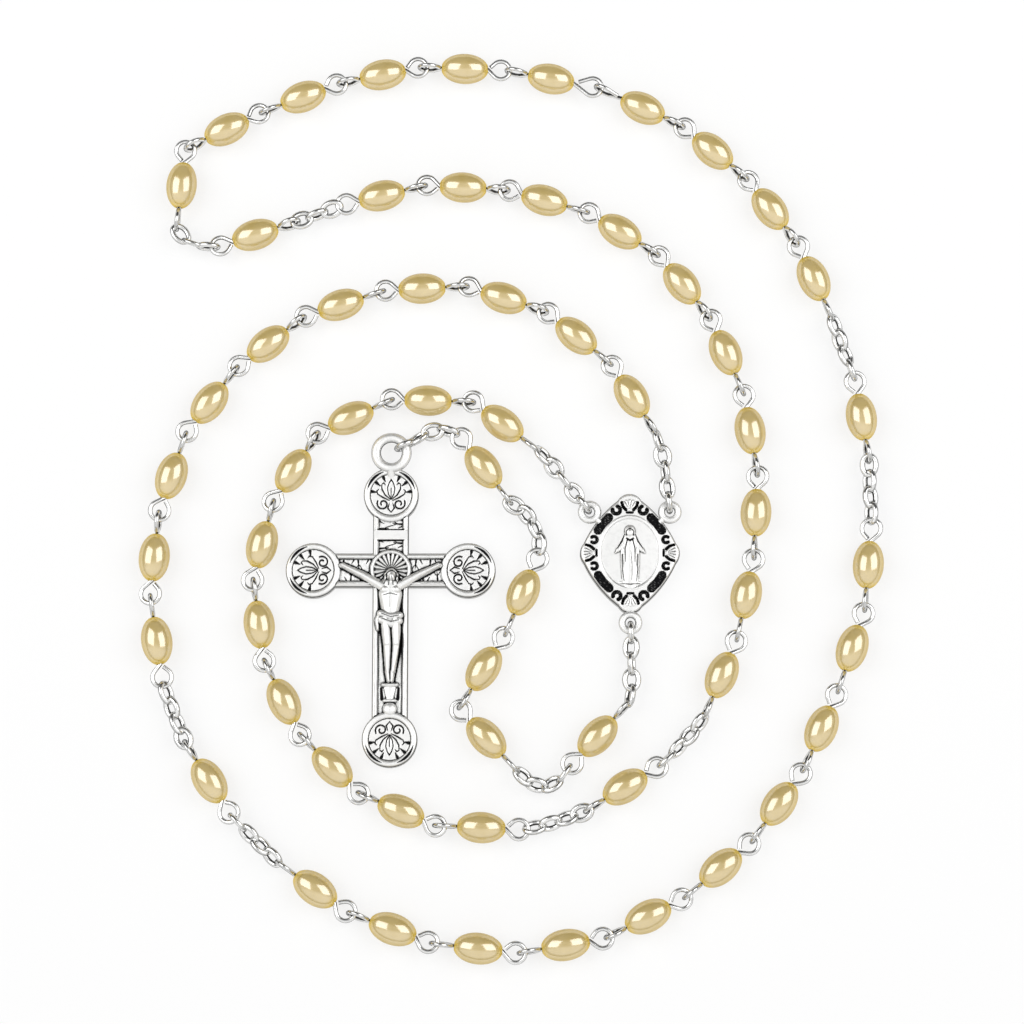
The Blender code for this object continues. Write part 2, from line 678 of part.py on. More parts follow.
def make_crucifix():
    """Crucifix with its top ring at the origin, lying face up."""
    ends = lobes()
    top, arms, bottom = ends["top"][1], ends["left"][1], ends["bottom"][1]
    shaft = SHAFT_WIDTH / 2
    arm = ARM_WIDTH / 2
    body = block((-shaft, bottom, 0.0), (shaft, top, CROSS_THICKNESS))
    adds = [block((-ARM_LOBE_REACH, arms - arm, 0.0), (ARM_LOBE_REACH, arms + arm, CROSS_THICKNESS))]
    adds += [disc(end, LOBE_RADIUS, 0.0, CROSS_THICKNESS) for end in ends.values()]
    body = combine(body, adds)
    above = 2 * CROSS_THICKNESS
    run = LOBE_RADIUS
    field = shaft - BAR_BORDER
    reach = ARM_LOBE_REACH - run
    pockets = [block((-field, bottom + run, CROSS_FLOOR), (field, top - run, above)),
               block((-reach, arms - arm + BAR_BORDER, CROSS_FLOOR),
                     (reach, arms + arm - BAR_BORDER, above))]
    pockets += [disc(end, LOBE_RADIUS - LOBE_RIM, CROSS_FLOOR, above) for end in ends.values()]
    body = combine(body, pockets, "DIFFERENCE")
    parts = [disc((0.0, arms), HALO_RADIUS, CROSS_FLOOR / 2, CROSS_THICKNESS)]
    plaque = arms + PLAQUE_DROP
    parts.append(block((-PLAQUE_WIDTH / 2, plaque - PLAQUE_HEIGHT / 2, CROSS_FLOOR / 2),
                       (PLAQUE_WIDTH / 2, plaque + PLAQUE_HEIGHT / 2, CROSS_THICKNESS)))
    for end in ends.values():
        parts += palmette(*end)
    parts += corpus(arms)
    neck = tube([(0.0, -RING_RADIUS, CASTING_HEIGHT), (0.0, top + LOBE_RADIUS / 2, CASTING_HEIGHT / 2)],
                RING_WIRE)
    parts += [cast_ring((0.0, 0.0), RING_RADIUS, RING_WIRE, CASTING_HEIGHT), neck]
    return combine(body, parts)


def dress(mesh, name, material):
    """Name a part's mesh, give it its material and shade it."""
    mesh.name = name
    mesh.materials.clear()
    mesh.materials.append(material)
    mesh.shade_smooth()
    mesh.set_sharp_from_angle(angle=math.radians(SHARP_EDGE))


def place_part(name, mesh, frame, collection, root):
    """File a part in the object's collection, with its origin on its pivot."""
    part = bpy.data.objects.new(name, mesh)
    collection.objects.link(part)
    part.parent = root
    part.matrix_world = frame


def finish(form, name, frame, material, collection, root):
    """Turn a form, built where it lies, into a named part."""
    mesh = form.data
    mesh.transform(frame.inverted())
    dress(mesh, name, material)
    bpy.data.objects.remove(form, do_unlink=True)
    place_part(name, mesh, frame, collection, root)


def build_unit(piece, shared, material, collection, root):
    """Make one strand unit; a single bead shares one mesh with all the others."""
    if piece["kinds"] == ["bead"]:
        place_part(piece["name"], shared, piece["frame"], collection, root)
        return
    shapes = []
    for kind, place in piece["forms"]:
        shape = bead_form() if kind == "bead" else ring_form(kind)
        shape.data.transform(place)
        shapes.append(shape)
    shapes.sort(key=lambda shape: -len(shape.data.vertices))
    form = combine(shapes[0], shapes[1:])
    finish(form, piece["name"], piece["frame"], material, collection, root)


def shared_bead(material):
    """Mesh of a single bead unit, with its origin on the pivot."""
    form = bead_form()
    mesh = form.data
    bpy.data.objects.remove(form, do_unlink=True)
    mesh.transform(Matrix.Translation((-(PIN_WIRE + LOOSE), 0.0, 0.0)))
    dress(mesh, "bead_on_pin", material)
    return mesh


def plan():
    """Place every unit and the crucifix; the medal stays at the origin."""
    left, right, pendant = strands()
    inner = EAR_RADIUS - EAR_WIRE / 2
    starts = {}
    outward = {"left": Vector(LOOP_ROUTE[0]), "right": Vector(LOOP_ROUTE[-1]),
               "bottom": Vector((0.0, -1.0))}
    for side, heading in outward.items():
        middle = ear_centre(side)
        towards = heading.normalized() if side == "bottom" else (heading * MM - middle).normalized()
        starts[side] = middle + towards * max(inner - JUMP_WIRE / 2 - LOOSE, 0.0)
    left_elements = lay_out(left, None)
    right_elements = lay_out(right, None)
    pendant_elements = lay_out(pendant, RING_WIRE)
    left_heights = set_heights(left_elements, BEAD_HEIGHT)
    right_heights = set_heights(right_elements, BEAD_HEIGHT)
    pendant_heights = set_heights(pendant_elements, CASTING_HEIGHT)
    left_places, right_places = loop_places(left_elements, right_elements, starts)
    hung = pendant_places(pendant, pendant_elements, starts["bottom"])
    units = place_strand(left, left_elements, left_places, left_heights, "medal", EAR_WIRE)
    units += place_strand(right, right_elements, right_places, right_heights, "medal", EAR_WIRE)
    units += place_strand(pendant, pendant_elements, hung, pendant_heights, "medal", EAR_WIRE, True)
    contact = Vector((*hung[-1], CASTING_HEIGHT))
    turn = math.radians(CRUCIFIX_CONTACT)
    along = Vector((math.cos(turn), math.sin(turn), 0.0))
    middle = contact + along * RING_RADIUS
    crucifix = {"name": "crucifix", "parent": pendant[-1]["name"], "pivot": contact,
                "frame": frame_at(contact, along), "middle": middle}
    return units, crucifix


def build():
    """Model the whole rosary."""
    clear_scene()
    collection = bpy.data.collections.new(OBJECT_NAME)
    bpy.context.scene.collection.children.link(collection)
    root = bpy.data.objects.new(OBJECT_NAME + "_frame", None)
    collection.objects.link(root)
    pearl = make_material("pearl")
    silver = make_material("antique_silver")
    units, crucifix = plan()
    shared = shared_bead(pearl)
    for piece in units:
        build_unit(piece, shared, pearl, collection, root)
    finish(make_medal(), "medal", Matrix.Identity(4), silver, collection, root)
    cross = make_crucifix()
    cross.data.transform(Matrix.Translation((crucifix["middle"].x, crucifix["middle"].y, 0.0)))
    finish(cross, "crucifix", crucifix["frame"], silver, collection, root)


build()
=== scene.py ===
"""Looks of a five-decade rosary on a white table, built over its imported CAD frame.

Each bead, pin, link and ring is placed by the same route and sizes as the CAD
part, and the two castings are carved as reliefs on fine grids. Relief sizes are
in millimetres; everything that reaches Blender is in metres.
"""
import math

import bmesh
import bpy
import numpy as np
from mathutils import Matrix, Vector

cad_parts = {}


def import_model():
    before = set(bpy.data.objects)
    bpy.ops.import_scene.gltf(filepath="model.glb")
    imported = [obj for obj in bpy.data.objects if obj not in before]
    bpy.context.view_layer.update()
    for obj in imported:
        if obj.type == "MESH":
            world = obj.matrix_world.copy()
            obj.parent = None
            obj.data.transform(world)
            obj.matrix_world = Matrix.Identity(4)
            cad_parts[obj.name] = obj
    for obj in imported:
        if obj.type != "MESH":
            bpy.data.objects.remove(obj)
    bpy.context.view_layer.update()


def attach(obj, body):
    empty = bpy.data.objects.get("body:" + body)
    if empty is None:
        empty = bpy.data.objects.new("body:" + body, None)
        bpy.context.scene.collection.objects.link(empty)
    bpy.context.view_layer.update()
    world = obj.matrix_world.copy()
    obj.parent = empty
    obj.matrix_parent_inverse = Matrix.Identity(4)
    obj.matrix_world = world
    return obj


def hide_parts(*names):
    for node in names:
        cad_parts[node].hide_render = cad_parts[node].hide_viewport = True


MM = 0.001

# Strand sizes, as in the CAD part
BEAD_LENGTH = 6.1 * MM
BEAD_DIAMETER = 4.0 * MM
BEAD_END = 1.0 * MM
PIN_WIRE = 0.55 * MM
EYE_OUTER = 3.0 * MM
EYE_SLIT = 0.15 * MM
NECK = 0.5 * MM
LINK_LENGTH = 3.1 * MM
LINK_WIDTH = 2.3 * MM
LINK_WIRE = 0.55 * MM
JUMP_OUTER = 2.9 * MM
JUMP_WIRE = 0.6 * MM
CHAIN_SAG = 0.2 * MM
TABLE_GAP = 0.05 * MM
LOOSE = 0.3 * MM
SLACK = {1: 0.55 * MM, 2: 0.25 * MM, 3: 0.15 * MM, 4: 0.0 * MM, 5: 0.2 * MM}
SEAT = 0.1 * MM
BEADS_IN_DECADE = 10
CHAIN_LINKS = 4
SHORT_CHAIN_LINKS = 3
SIDE_CHAIN_LINKS = 5
MIDDLE_BEAD = 5
CURVE_STEPS = 10

# Castings, as in the CAD part
MEDAL_WIDTH = 12.9 * MM
MEDAL_HEIGHT = 15.6 * MM
MEDAL_POWER = 1.45
EAR_OUTER = 2.86 * MM
EAR_WIRE = 0.72 * MM
EAR_WELD = 0.15 * MM
EAR_ANGLES = {"left": 134.0, "right": 46.0, "bottom": -90.0}
RING_OUTER = 5.0 * MM
RING_WIRE = 1.0 * MM
RING_TO_TOP_LOBE = 5.5
TOP_LOBE_TO_ARMS = 9.9
ARMS_TO_BOTTOM_LOBE = 21.9
ARM_LOBE_REACH = 10.0
LOBE_RADIUS = 3.55
SHAFT_HALF = 2.3
ARM_HALF = 2.2
CRUCIFIX_CONTACT = 210.0

LOOP_ROUTE = [
    (-10.5, 12.0), (-16.0, 17.5), (-21.0, 20.0), (-26.0, 20.5), (-31.5, 20.0), (-36.5, 18.5),
    (-41.0, 15.0), (-44.0, 11.0), (-48.0, 0.5), (-48.0, -9.5), (-44.5, -19.5), (-38.5, -28.0),
    (-29.5, -33.5), (-19.0, -36.0), (-9.5, -34.5), (-0.5, -30.5), (7.5, -23.5), (12.0, -16.0),
    (15.0, -5.5), (16.5, 5.0), (16.0, 15.5), (13.0, 26.5), (7.0, 36.0), (-0.5, 43.0),
    (-11.0, 47.0), (-21.5, 49.0), (-32.0, 48.0), (-40.5, 45.0), (-48.5, 42.0), (-54.5, 40.5),
    (-59.0, 42.5), (-58.5, 48.5), (-58.0, 54.0), (-53.0, 56.5), (-43.0, 61.0), (-31.5, 64.5),
    (-20.5, 65.0), (-10.0, 63.5), (1.0, 60.5), (10.5, 54.5), (18.0, 47.0), (24.0, 37.5),
    (27.5, 28.0), (30.5, 18.5), (31.0, 9.0), (31.0, -0.5), (29.0, -11.5), (24.5, -22.0),
    (19.5, -32.0), (12.5, -39.5), (3.5, -46.0), (-6.5, -50.0), (-18.5, -51.0), (-29.5, -48.5),
    (-39.5, -44.0), (-47.0, -37.5), (-53.5, -30.5), (-58.0, -21.5), (-61.0, -12.0),
    (-61.5, -1.0), (-59.5, 10.0), (-55.5, 19.0), (-48.0, 27.0), (-38.5, 33.0), (-28.0, 35.0),
    (-16.5, 34.5), (-6.0, 28.5), (0.5, 21.0), (4.0, 14.0)]
PENDANT_HEADINGS = {
    "our_father_5": [272.0, 270.0, 272.0, 268.0, 262.0, 227.0],
    "hail_mary_1": [235.0, 210.0, 165.0, 138.0, 133.0],
    "hail_mary_2": [58.0],
    "hail_mary_3": [67.0, 95.0, 110.0, 130.0, 150.0],
    "our_father_6": [127.0, 164.0, 191.0, 213.0, 204.0],
}

# Worked out from the sizes above
EYE_RADIUS = (EYE_OUTER - PIN_WIRE) / 2
BEAD_PITCH_LENGTH = BEAD_LENGTH + 2 * (NECK + 2 * EYE_RADIUS)
BEAD_HEIGHT = BEAD_DIAMETER / 2
CASTING_HEIGHT = JUMP_OUTER / 2 + TABLE_GAP
RING_RADIUS = (RING_OUTER - RING_WIRE) / 2
EAR_RADIUS = (EAR_OUTER - EAR_WIRE) / 2
SIZES = {
    "bead": (BEAD_PITCH_LENGTH, PIN_WIRE),
    "link": (LINK_LENGTH - LINK_WIRE, LINK_WIRE),
    "jump": (JUMP_OUTER - JUMP_WIRE, JUMP_WIRE),
}
TOP_LOBE = -RING_TO_TOP_LOBE
ARMS = TOP_LOBE - TOP_LOBE_TO_ARMS
BOTTOM_LOBE = ARMS - ARMS_TO_BOTTOM_LOBE
LOBES = ((0.0, TOP_LOBE, 90.0), (-ARM_LOBE_REACH, ARMS, 180.0), (ARM_LOBE_REACH, ARMS, 0.0),
         (0.0, BOTTOM_LOBE, -90.0))

# Mesh fineness and limits of the sums
BEAD_SEGMENTS = 48
BEAD_BANDS = 28
EYE_STEP = 12.0
WIRE_RESOLUTION = 3
MEDAL_STEP = 0.05
CRUCIFIX_STEP = 0.06
SNAP_ROUNDS = 3
SHARP_ANGLE = 60.0
TINY = 1e-9
NUDGE = 0.1
LEAST_SLOPE = 1e-6
ROUTE_SIZES = (0.5, 2.0)
ROUTE_HALVINGS = 40

# Wire as drawn: plumper than in the CAD, with necks to the castings, and with painted shade
# the flanks of its loops, as dark outlines
RING_PLUMP = 1.27
PIN_PLUMP = 1.04
TOP_RING_PLUMP = 1.28
EAR_NECK_PLUMP = 1.15
EAR_NECK_END = 0.85
RING_NECK_PLUMP = 1.3
RING_NECK_END = 0.6
RING_NECK_REACH = 0.7
HOLE_PLAY = 1.1
HOLE_LIP = 0.05 * MM
ACROSS = 1
UP = 2
OUTER_FLANK = 0.4
FLANK_START = 0.5
FLANK_FADE = 0.28

# Turn of eyes and links about the strand, spread over the beads, and the two
# beads whose eyes close the loop
TWIST_LOW = -12.0
TWIST_HIGH = 12.0
LINK_TWIST = 45.0
GOLDEN = 0.618
LAST_LEFT = "decade_3_beads_05_06"
LAST_RIGHT = "decade_3_bead_07"

# Painted shade on the walls and outlines, and blackened pockets, of both castings
WALL_LIP = 0.06 * MM
WALL_SHADE = 0.12
OUTLINE_SHADE = 0.8
OUTLINE_WIDTH = 0.19
POCKET_EDGE = 0.25
POCKET_GRAIN = 0.03
POCKET_MOTTLE = 16.0
POCKET_STAIN = 0.85
STAIN_MOTTLE = 9.0

# Medal: outline, levels, oval field with its rim, and ornament of one quarter
LOZENGE_HALF = (6.35, 7.7)
LOZENGE_POWER = 1.38
LOZENGE_DEPTH = 4.8
CORNER_LOBES = ((4.55, 0.0, 1.9), (-4.55, 0.0, 1.9), (0.0, 6.05, 1.75), (0.0, -6.05, 1.75))
MEDAL_REACH = (6.8, 8.2)
MEDAL_FLOOR = 1.3
MEDAL_TOP = 1.82
MEDAL_ROUNDING = 0.4
MEDAL_TARNISH = (2, 0.09)
OVAL_HALF = (3.95, 4.75)
OVAL_LEVEL = 1.66
OVAL_SWELL = 0.06
RIM_MIDDLE = 0.02
RIM_HALF = 0.26
RIM_LEVEL = 1.6
RIM_RISE = 0.32
RIM_CLEAR = 0.9
BAR = ((2.72, 4.62), (3.48, 3.86), (4.12, 2.92))
BAR_WIDTH = 0.58
SCROLLS = (((1.74, 5.6), 0.5, 60.0), ((4.66, 1.72), 0.42, 0.0))
SCROLL_ENDS = (50.0, 310.0)
SCROLL_WIDTH = 0.5
SHELLS = (((4.55, 0.0), 0.0), ((-4.55, 0.0), 180.0), ((0.0, 5.5), 90.0), ((0.0, -5.5), -90.0))
SHELL_GAP = ((0.12, 0.5), (0.55, 0.86), (1.1, 1.02))
SHELL_RIBS = (-38.0, -19.0, 0.0, 19.0, 38.0)
SHELL_LINES = (-28.0, -9.0, 9.0, 28.0)

# Medal's figure: ridges and folds of its right half, mirrored to the left, and folds
# down its middle, each with points, widths and rise or depth
HEM = -3.9
FIGURE_RIDGES = (
    (((0.45, 2.1), (0.95, 0.95), (1.6, 0.3)), (0.4, 0.42, 0.26), 0.36),
    (((1.6, 0.3), (1.9, 0.0)), (0.16, 0.1), 0.26),
    (((1.0, 0.6), (1.0, -1.4), (0.8, HEM)), (0.26, 0.22, 0.24), 0.26))
FIGURE_FOLDS = (
    (((0.72, 2.4), (1.05, 1.5), (1.65, 0.6)), (0.05, 0.13, 0.04), 0.12),
    (((0.35, 1.7), (0.62, 0.5), (0.62, -1.2)), (0.09, 0.06, 0.03), 0.1),
    (((0.98, -0.2), (0.98, -2.2), (0.8, HEM + 0.2)), (0.09, 0.07, 0.04), 0.1))
MIDDLE_FOLDS = (
    (((-0.42, 1.85), (0.0, 1.62), (0.42, 1.85)), 0.14, 0.1),
    (((-1.25, HEM - 0.1), (0.0, HEM - 0.22), (1.25, HEM - 0.1)), (0.03, 0.07, 0.03), 0.08),
    (((0.1, 0.3), (0.25, -1.6), (0.2, HEM + 0.3)), (0.03, 0.05, 0.03), 0.07))

# Crucifix: levels, borders, plaque, halo and lobes; heights are measured from the arms
CROSS_MARGIN = 4.0
CROSS_TOP = 1.6
CROSS_FLOOR = 1.15
CROSS_TARNISH = (3, 0.12)
CROSS_CLEAN_EDGE = 0.2
BORDER_MIDDLE = 0.36
BORDER_HALF = 0.38
BORDER_INNER = 0.74
FIELD_LIFT = 0.14
FIELD_GRAIN = 0.02
FIELD_MOTTLE = 11.0
LEAF_PITCH = 0.95
SHAFT_LEAVES = ((TOP_LOBE - LOBE_RADIUS + 0.1, ARMS + 5.2), (ARMS + 4.0, ARMS + 2.6))
SHAFT_LEAF_HALF = 1.5
ARM_LEAVES_START = 2.7
ARM_LEAF_HALF = 1.35
PLAQUE_HALF = (2.25, 0.62)
PLAQUE_HEIGHT = 4.6
PLAQUE_RISE = 0.05
PLAQUE_LINES = (3.9, 5.3)
PLAQUE_LINE_HALF = 1.7
HALO_RADIUS = 2.7
HALO_RING = 2.4
HALO_RING_HALF = 0.28
RAY_PITCH = 17.0
RAY_START = 0.9
RAY_END = 2.12
LOBE_RIM = 0.42
LOBE_RIM_HALF = 0.46
LOBE_PLATE = 0.26
FOOT = ARMS - 14.9

# Palmette in a lobe, pointing along X: strokes of one half with points and widths,
# wedges by angle and inner end, and the crescent in the rim
PALMETTE = (
    (((-0.55, 0.0), (0.1, 0.36), (0.9, 0.48), (1.6, 0.26), (2.0, 0.0)), 0.09),
    (((-0.6, 0.1), (0.0, 0.8), (0.75, 1.2), (1.4, 1.22)), (0.06, 0.11, 0.12, 0.06)),
    (((1.4, 1.22), (1.55, 0.95), (1.3, 0.72)), (0.06, 0.11, 0.05)),
    (((-0.75, 0.2), (-0.35, 1.05), (0.1, 1.75)), (0.06, 0.12, 0.08)),
    (((0.1, 1.75), (0.5, 1.85), (0.72, 1.6)), (0.08, 0.11, 0.05)),
    (((-1.1, 0.2), (-1.75, 0.42), (-2.3, 0.0)), (0.05, 0.13, 0.06)))
WEDGES = ((24.0, 1.85), (50.0, 1.8), (80.0, 1.9))
CRESCENT = (18.0, 76.0)

# Colours and finishes
WHITE = (1.0, 1.0, 1.0, 1.0)
PEARL_TONES = ((0.3, (0.60, 0.44, 0.13, 1.0)), (0.7, (0.68, 0.52, 0.21, 1.0)))
# Painted sheen at the bead's ends: its gold, and where it starts and is full, as shares of the bead's length
# from its middle
PAINTED_END_SHEEN = (0.74, 0.50, 0.02, 1.0)
END_SHEEN_SPAN = (0.36, 0.5)
PEARL_SHADER = {"Metallic": 0.12, "Roughness": 0.3, "Specular IOR Level": 0.1,
                "Coat Roughness": 0.13, "Coat IOR": 2.9}
PEARL_COAT = ((0.25, 0.6), (1.0, 0.12))
PEARL_MOTTLE = 420.0
PEARL_GRAIN = 2600.0
PEARL_BUMP = {"Strength": 0.02, "Distance": 0.02 * MM}
SILVER_GREY = (0.62, 0.62, 0.61, 1.0)
# The dark specular tint paints shade into the silver's reflection at grazing angles, for dark edges
SILVER_SHADER = {"Metallic": 1.0, "Specular Tint": (0.12, 0.12, 0.12, 1.0)}
WIRE_TONES = ((0.0, (0.95, 0.95, 0.94, 1.0)), (0.4, SILVER_GREY), (0.8, (0.03, 0.03, 0.03, 1.0)))
WIRE_WEAR = 900.0
WIRE_PATCH = ((0.3, 0.7), (0.0, 0.2))
WIRE_ROUGH = (0.1, 0.26)
CAST_TONES = ((0.0, (0.93, 0.93, 0.92, 1.0)), (0.35, SILVER_GREY), (0.8, (0.012, 0.012, 0.013, 1.0)))
CAST_WEAR = 1400.0
CAST_PATCH = ((0.5, 1.0), (0.0, 0.15))
CAST_ROUGH = (0.48, 0.65)
CAST_BUMP = {"Strength": 0.08, "Distance": 0.03 * MM}

# Table, studio and lamps
UNIT_RANGE = (0.0, 1.0)
TABLE_HALF = 3.0
TABLE_DROP = 0.02 * MM
TABLE_SHADER = {"Base Color": (0.9, 0.9, 0.9, 1.0), "Roughness": 0.9, "Specular IOR Level": 0.0}
TABLE_GLOW = 0.72
STUDIO_FRONT = ((-0.4, -0.1), (0.95, 0.46))
STUDIO_BACK = ((0.24, 0.6), (1.0, 0.22))
STUDIO_WALLS = ((0.05, 0.32), (0.1, 1.0))
LAMPS = {"left_softbox": (-0.37, 0.10, 0.42), "right_softbox": (0.34, 0.10, 0.42)}
LAMP_AIM = (-0.015, 0.006, 0.0)
LAMP_SIZE = 0.46
LAMP_POWER = 1.45

# Camera, from a loose fit that makes the beads' spacing in the photograph even
CAMERA_PLACE = (-15.24 * MM, -63.80 * MM, 393.92 * MM)
CAMERA_TILT = 10.0
CAMERA_LENS = 108.2
CAMERA_CLIP = 0.01
SENSOR = 36.0


def unit(name, before=(), after=(), beads=1, slack=0.0):
    """One piece of the strand: links before the bead, the bead or beads, and links after."""
    kinds = [*before, *["bead"] * beads, *after]
    return {"name": name, "kinds": kinds, "lead": len(before), "slack": 0.0 if after else slack}


def decade(number, first_chain, last_chain, backwards=False):
    """The ten units of a decade in the order they are walked, with the chains at its two ends."""
    beads = list(range(1, BEADS_IN_DECADE + 1))
    if backwards:
        beads.reverse()
    units = []
    for bead in beads:
        before = first_chain if bead == beads[0] else ()
        after = last_chain if bead == beads[-1] else ()
        units.append(unit(f"decade_{number}_bead_{bead:02d}", before, after, slack=SLACK[number]))
    return units


def strands():
    """Units of the two arms of the loop and of the pendant, each in order from the medal."""
    chain = ["link"] * CHAIN_LINKS
    short_chain = ["link"] * SHORT_CHAIN_LINKS
    side_chain = ["jump"] + ["link"] * (SIDE_CHAIN_LINKS - 1)
    drop_chain = ["jump"] + chain
    third = decade(3, short_chain, ())
    pair_name = f"decade_3_beads_{MIDDLE_BEAD:02d}_{MIDDLE_BEAD + 1:02d}"
    third_left = third[:MIDDLE_BEAD - 1] + [unit(pair_name, beads=2, slack=SLACK[3])]
    third_right = decade(3, chain, (), True)[:BEADS_IN_DECADE - MIDDLE_BEAD - 1]
    left = decade(1, side_chain, chain) + [unit("our_father_1")]
    left += decade(2, chain, short_chain) + [unit("our_father_2")] + third_left
    right = decade(5, side_chain, chain, True) + [unit("our_father_4")]
    right += decade(4, chain, chain, True) + [unit("our_father_3")] + third_right
    pendant = [unit("our_father_5", drop_chain), unit("hail_mary_1", chain), unit("hail_mary_2"),
               unit("hail_mary_3", (), chain),
               unit("our_father_6", (), chain[1:] + ["jump"])]
    return left, right, pendant


def lap(kind, next_wire, play):
    """How far the next piece's wire sits inside the end of this one."""
    return (SIZES[kind][1] + next_wire) / 2 + play


def lay_out(units, end_wire):
    """Elements of a strand with the reach of each to the next one."""
    elements = []
    for index, piece in enumerate(units):
        for spot, kind in enumerate(piece["kinds"]):
            elements.append({"unit": index, "spot": spot, "kind": kind})
    for here, after in zip(elements, elements[1:]):
        same = here["unit"] == after["unit"]
        play = -SEAT if same else LOOSE + units[here["unit"]]["slack"]
        here["reach"] = SIZES[here["kind"]][0] - lap(here["kind"], SIZES[after["kind"]][1], play)
    last = elements[-1]
    last["reach"] = SIZES[last["kind"]][0]
    if end_wire:
        last["reach"] -= lap(last["kind"], end_wire, LOOSE)
    return elements


def set_heights(elements, end_height):
    """Height of every element's start: level at the beads, sagging between them."""
    knots = [(0, CASTING_HEIGHT)]
    for spot, element in enumerate(elements):
        if element["kind"] == "bead":
            knots += [(spot, BEAD_HEIGHT), (spot + 1, BEAD_HEIGHT)]
    knots.append((len(elements), end_height))
    heights = [0.0] * (len(elements) + 1)
    for (start, low), (end, high) in zip(knots, knots[1:]):
        for spot in range(start, end + 1):
            share = (spot - start) / max(end - start, 1)
            sag = 4 * CHAIN_SAG * share * (1 - share) if end - start > 1 else 0.0
            heights[spot] = low + (high - low) * share - sag
    for spot, element in enumerate(elements):
        element["rise"] = heights[spot + 1] - heights[spot]
    return heights


def smooth_route(points):
    """Points of a smooth curve through a route."""
    ends = [points[0]] + points + [points[-1]]
    curve = []
    for one, two, three, four in zip(ends, ends[1:], ends[2:], ends[3:]):
        for step in range(CURVE_STEPS):
            part = step / CURVE_STEPS
            curve.append(0.5 * (2 * two + (three - one) * part
                                + (2 * one - 5 * two + 4 * three - four) * part ** 2
                                + (3 * two - one - 3 * three + four) * part ** 3))
    curve.append(points[-1])
    return curve


def walk(curve, reaches):
    """Points on a curve at given straight distances from one to the next, and the length used."""
    places = [curve[0]]
    spot = 0
    used = 0.0
    for reach in reaches:
        here = places[-1]
        while spot + 2 < len(curve) and (curve[spot + 1] - here).length < reach:
            used += (curve[spot + 1] - curve[spot]).length
            spot += 1
        start = curve[spot]
        step = curve[spot + 1] - start
        away = start - here
        slope = away.dot(step) / step.dot(step)
        rest = (away.dot(away) - reach ** 2) / step.dot(step)
        share = -slope + math.sqrt(max(slope ** 2 - rest, 0.0))
        places.append(start + step * share)
    return places, used + step.length * share


def level_reach(element):
    """An element's reach seen from above."""
    return math.sqrt(element["reach"] ** 2 - element["rise"] ** 2)


def loop_places(left, right, starts):
    """Places of both arms on the route, drawn to the size at which the loop just closes."""
    left_reaches = [level_reach(element) for element in left]
    right_reaches = [level_reach(element) for element in right]
    small, large = ROUTE_SIZES
    for _ in range(ROUTE_HALVINGS):
        size = (small + large) / 2
        inner = [Vector(point) * MM * size for point in LOOP_ROUTE]
        curve = smooth_route([starts["left"]] + inner + [starts["right"]])
        length = sum((two - one).length for one, two in zip(curve, curve[1:]))
        left_places, left_used = walk(curve, left_reaches)
        right_places, right_used = walk(curve[::-1], right_reaches)
        if length - left_used - right_used > PIN_WIRE + LOOSE:
            large = size
        else:
            small = size
    return left_places, right_places


def pendant_places(units, elements, start):
    """Places along the pendant from its headings."""
    places = [start]
    headings = [angle for piece in units for angle in PENDANT_HEADINGS[piece["name"]]]
    for element, angle in zip(elements, headings):
        turn = math.radians(angle)
        step = Vector((math.cos(turn), math.sin(turn))) * level_reach(element)
        places.append(places[-1] + step)
    return places


def frame_at(origin, along):
    """Frame with X along a direction, Y level and Z up."""
    side = Vector((0.0, 0.0, 1.0)).cross(along).normalized()
    top = along.cross(side)
    return Matrix.Translation(origin) @ Matrix((along, side, top)).transposed().to_4x4()


def roll_of(piece, spot, upright_end):
    """Turn of a ring about its own length: eyes and links cross from one to the next."""
    lead = piece["lead"]
    beads = piece["kinds"].count("bead")
    if spot < lead:
        step = 180.0 * round(lead / 2) / lead
        return 90.0 + step * spot
    tail = len(piece["kinds"]) - lead - beads
    if spot < lead + beads:
        return 0.0
    half_turns = round(tail / 2) * 180.0 - (90.0 if upright_end else 0.0)
    return half_turns / tail * (spot - lead - beads + 1)


def place_strand(units, elements, places, heights, upright_end=False):
    """Fill in the frames of each unit's elements."""
    for spot, element in enumerate(elements):
        start = Vector((*places[spot], heights[spot]))
        end = Vector((*places[spot + 1], heights[spot + 1]))
        along = (end - start).normalized()
        piece = units[element["unit"]]
        last_unit = element["unit"] == len(units) - 1
        roll = roll_of(piece, element["spot"], upright_end and last_unit)
        turn = Matrix.Rotation(math.radians(roll), 4, "X")
        piece.setdefault("forms", []).append((element["kind"], frame_at(start, along) @ turn))
    return units


def outline_point(angle):
    """Point on the CAD medal's outline in a direction given in degrees."""
    turn = math.radians(angle)
    size = (abs(math.cos(turn)) / (MEDAL_WIDTH / 2)) ** MEDAL_POWER
    size += (abs(math.sin(turn)) / (MEDAL_HEIGHT / 2)) ** MEDAL_POWER
    return Vector((math.cos(turn), math.sin(turn))) * size ** (-1 / MEDAL_POWER)


def ear_centre(side):
    """Middle of an ear, standing just outside the outline."""
    edge = outline_point(EAR_ANGLES[side])
    return edge + edge.normalized() * (EAR_OUTER / 2 - EAR_WELD)


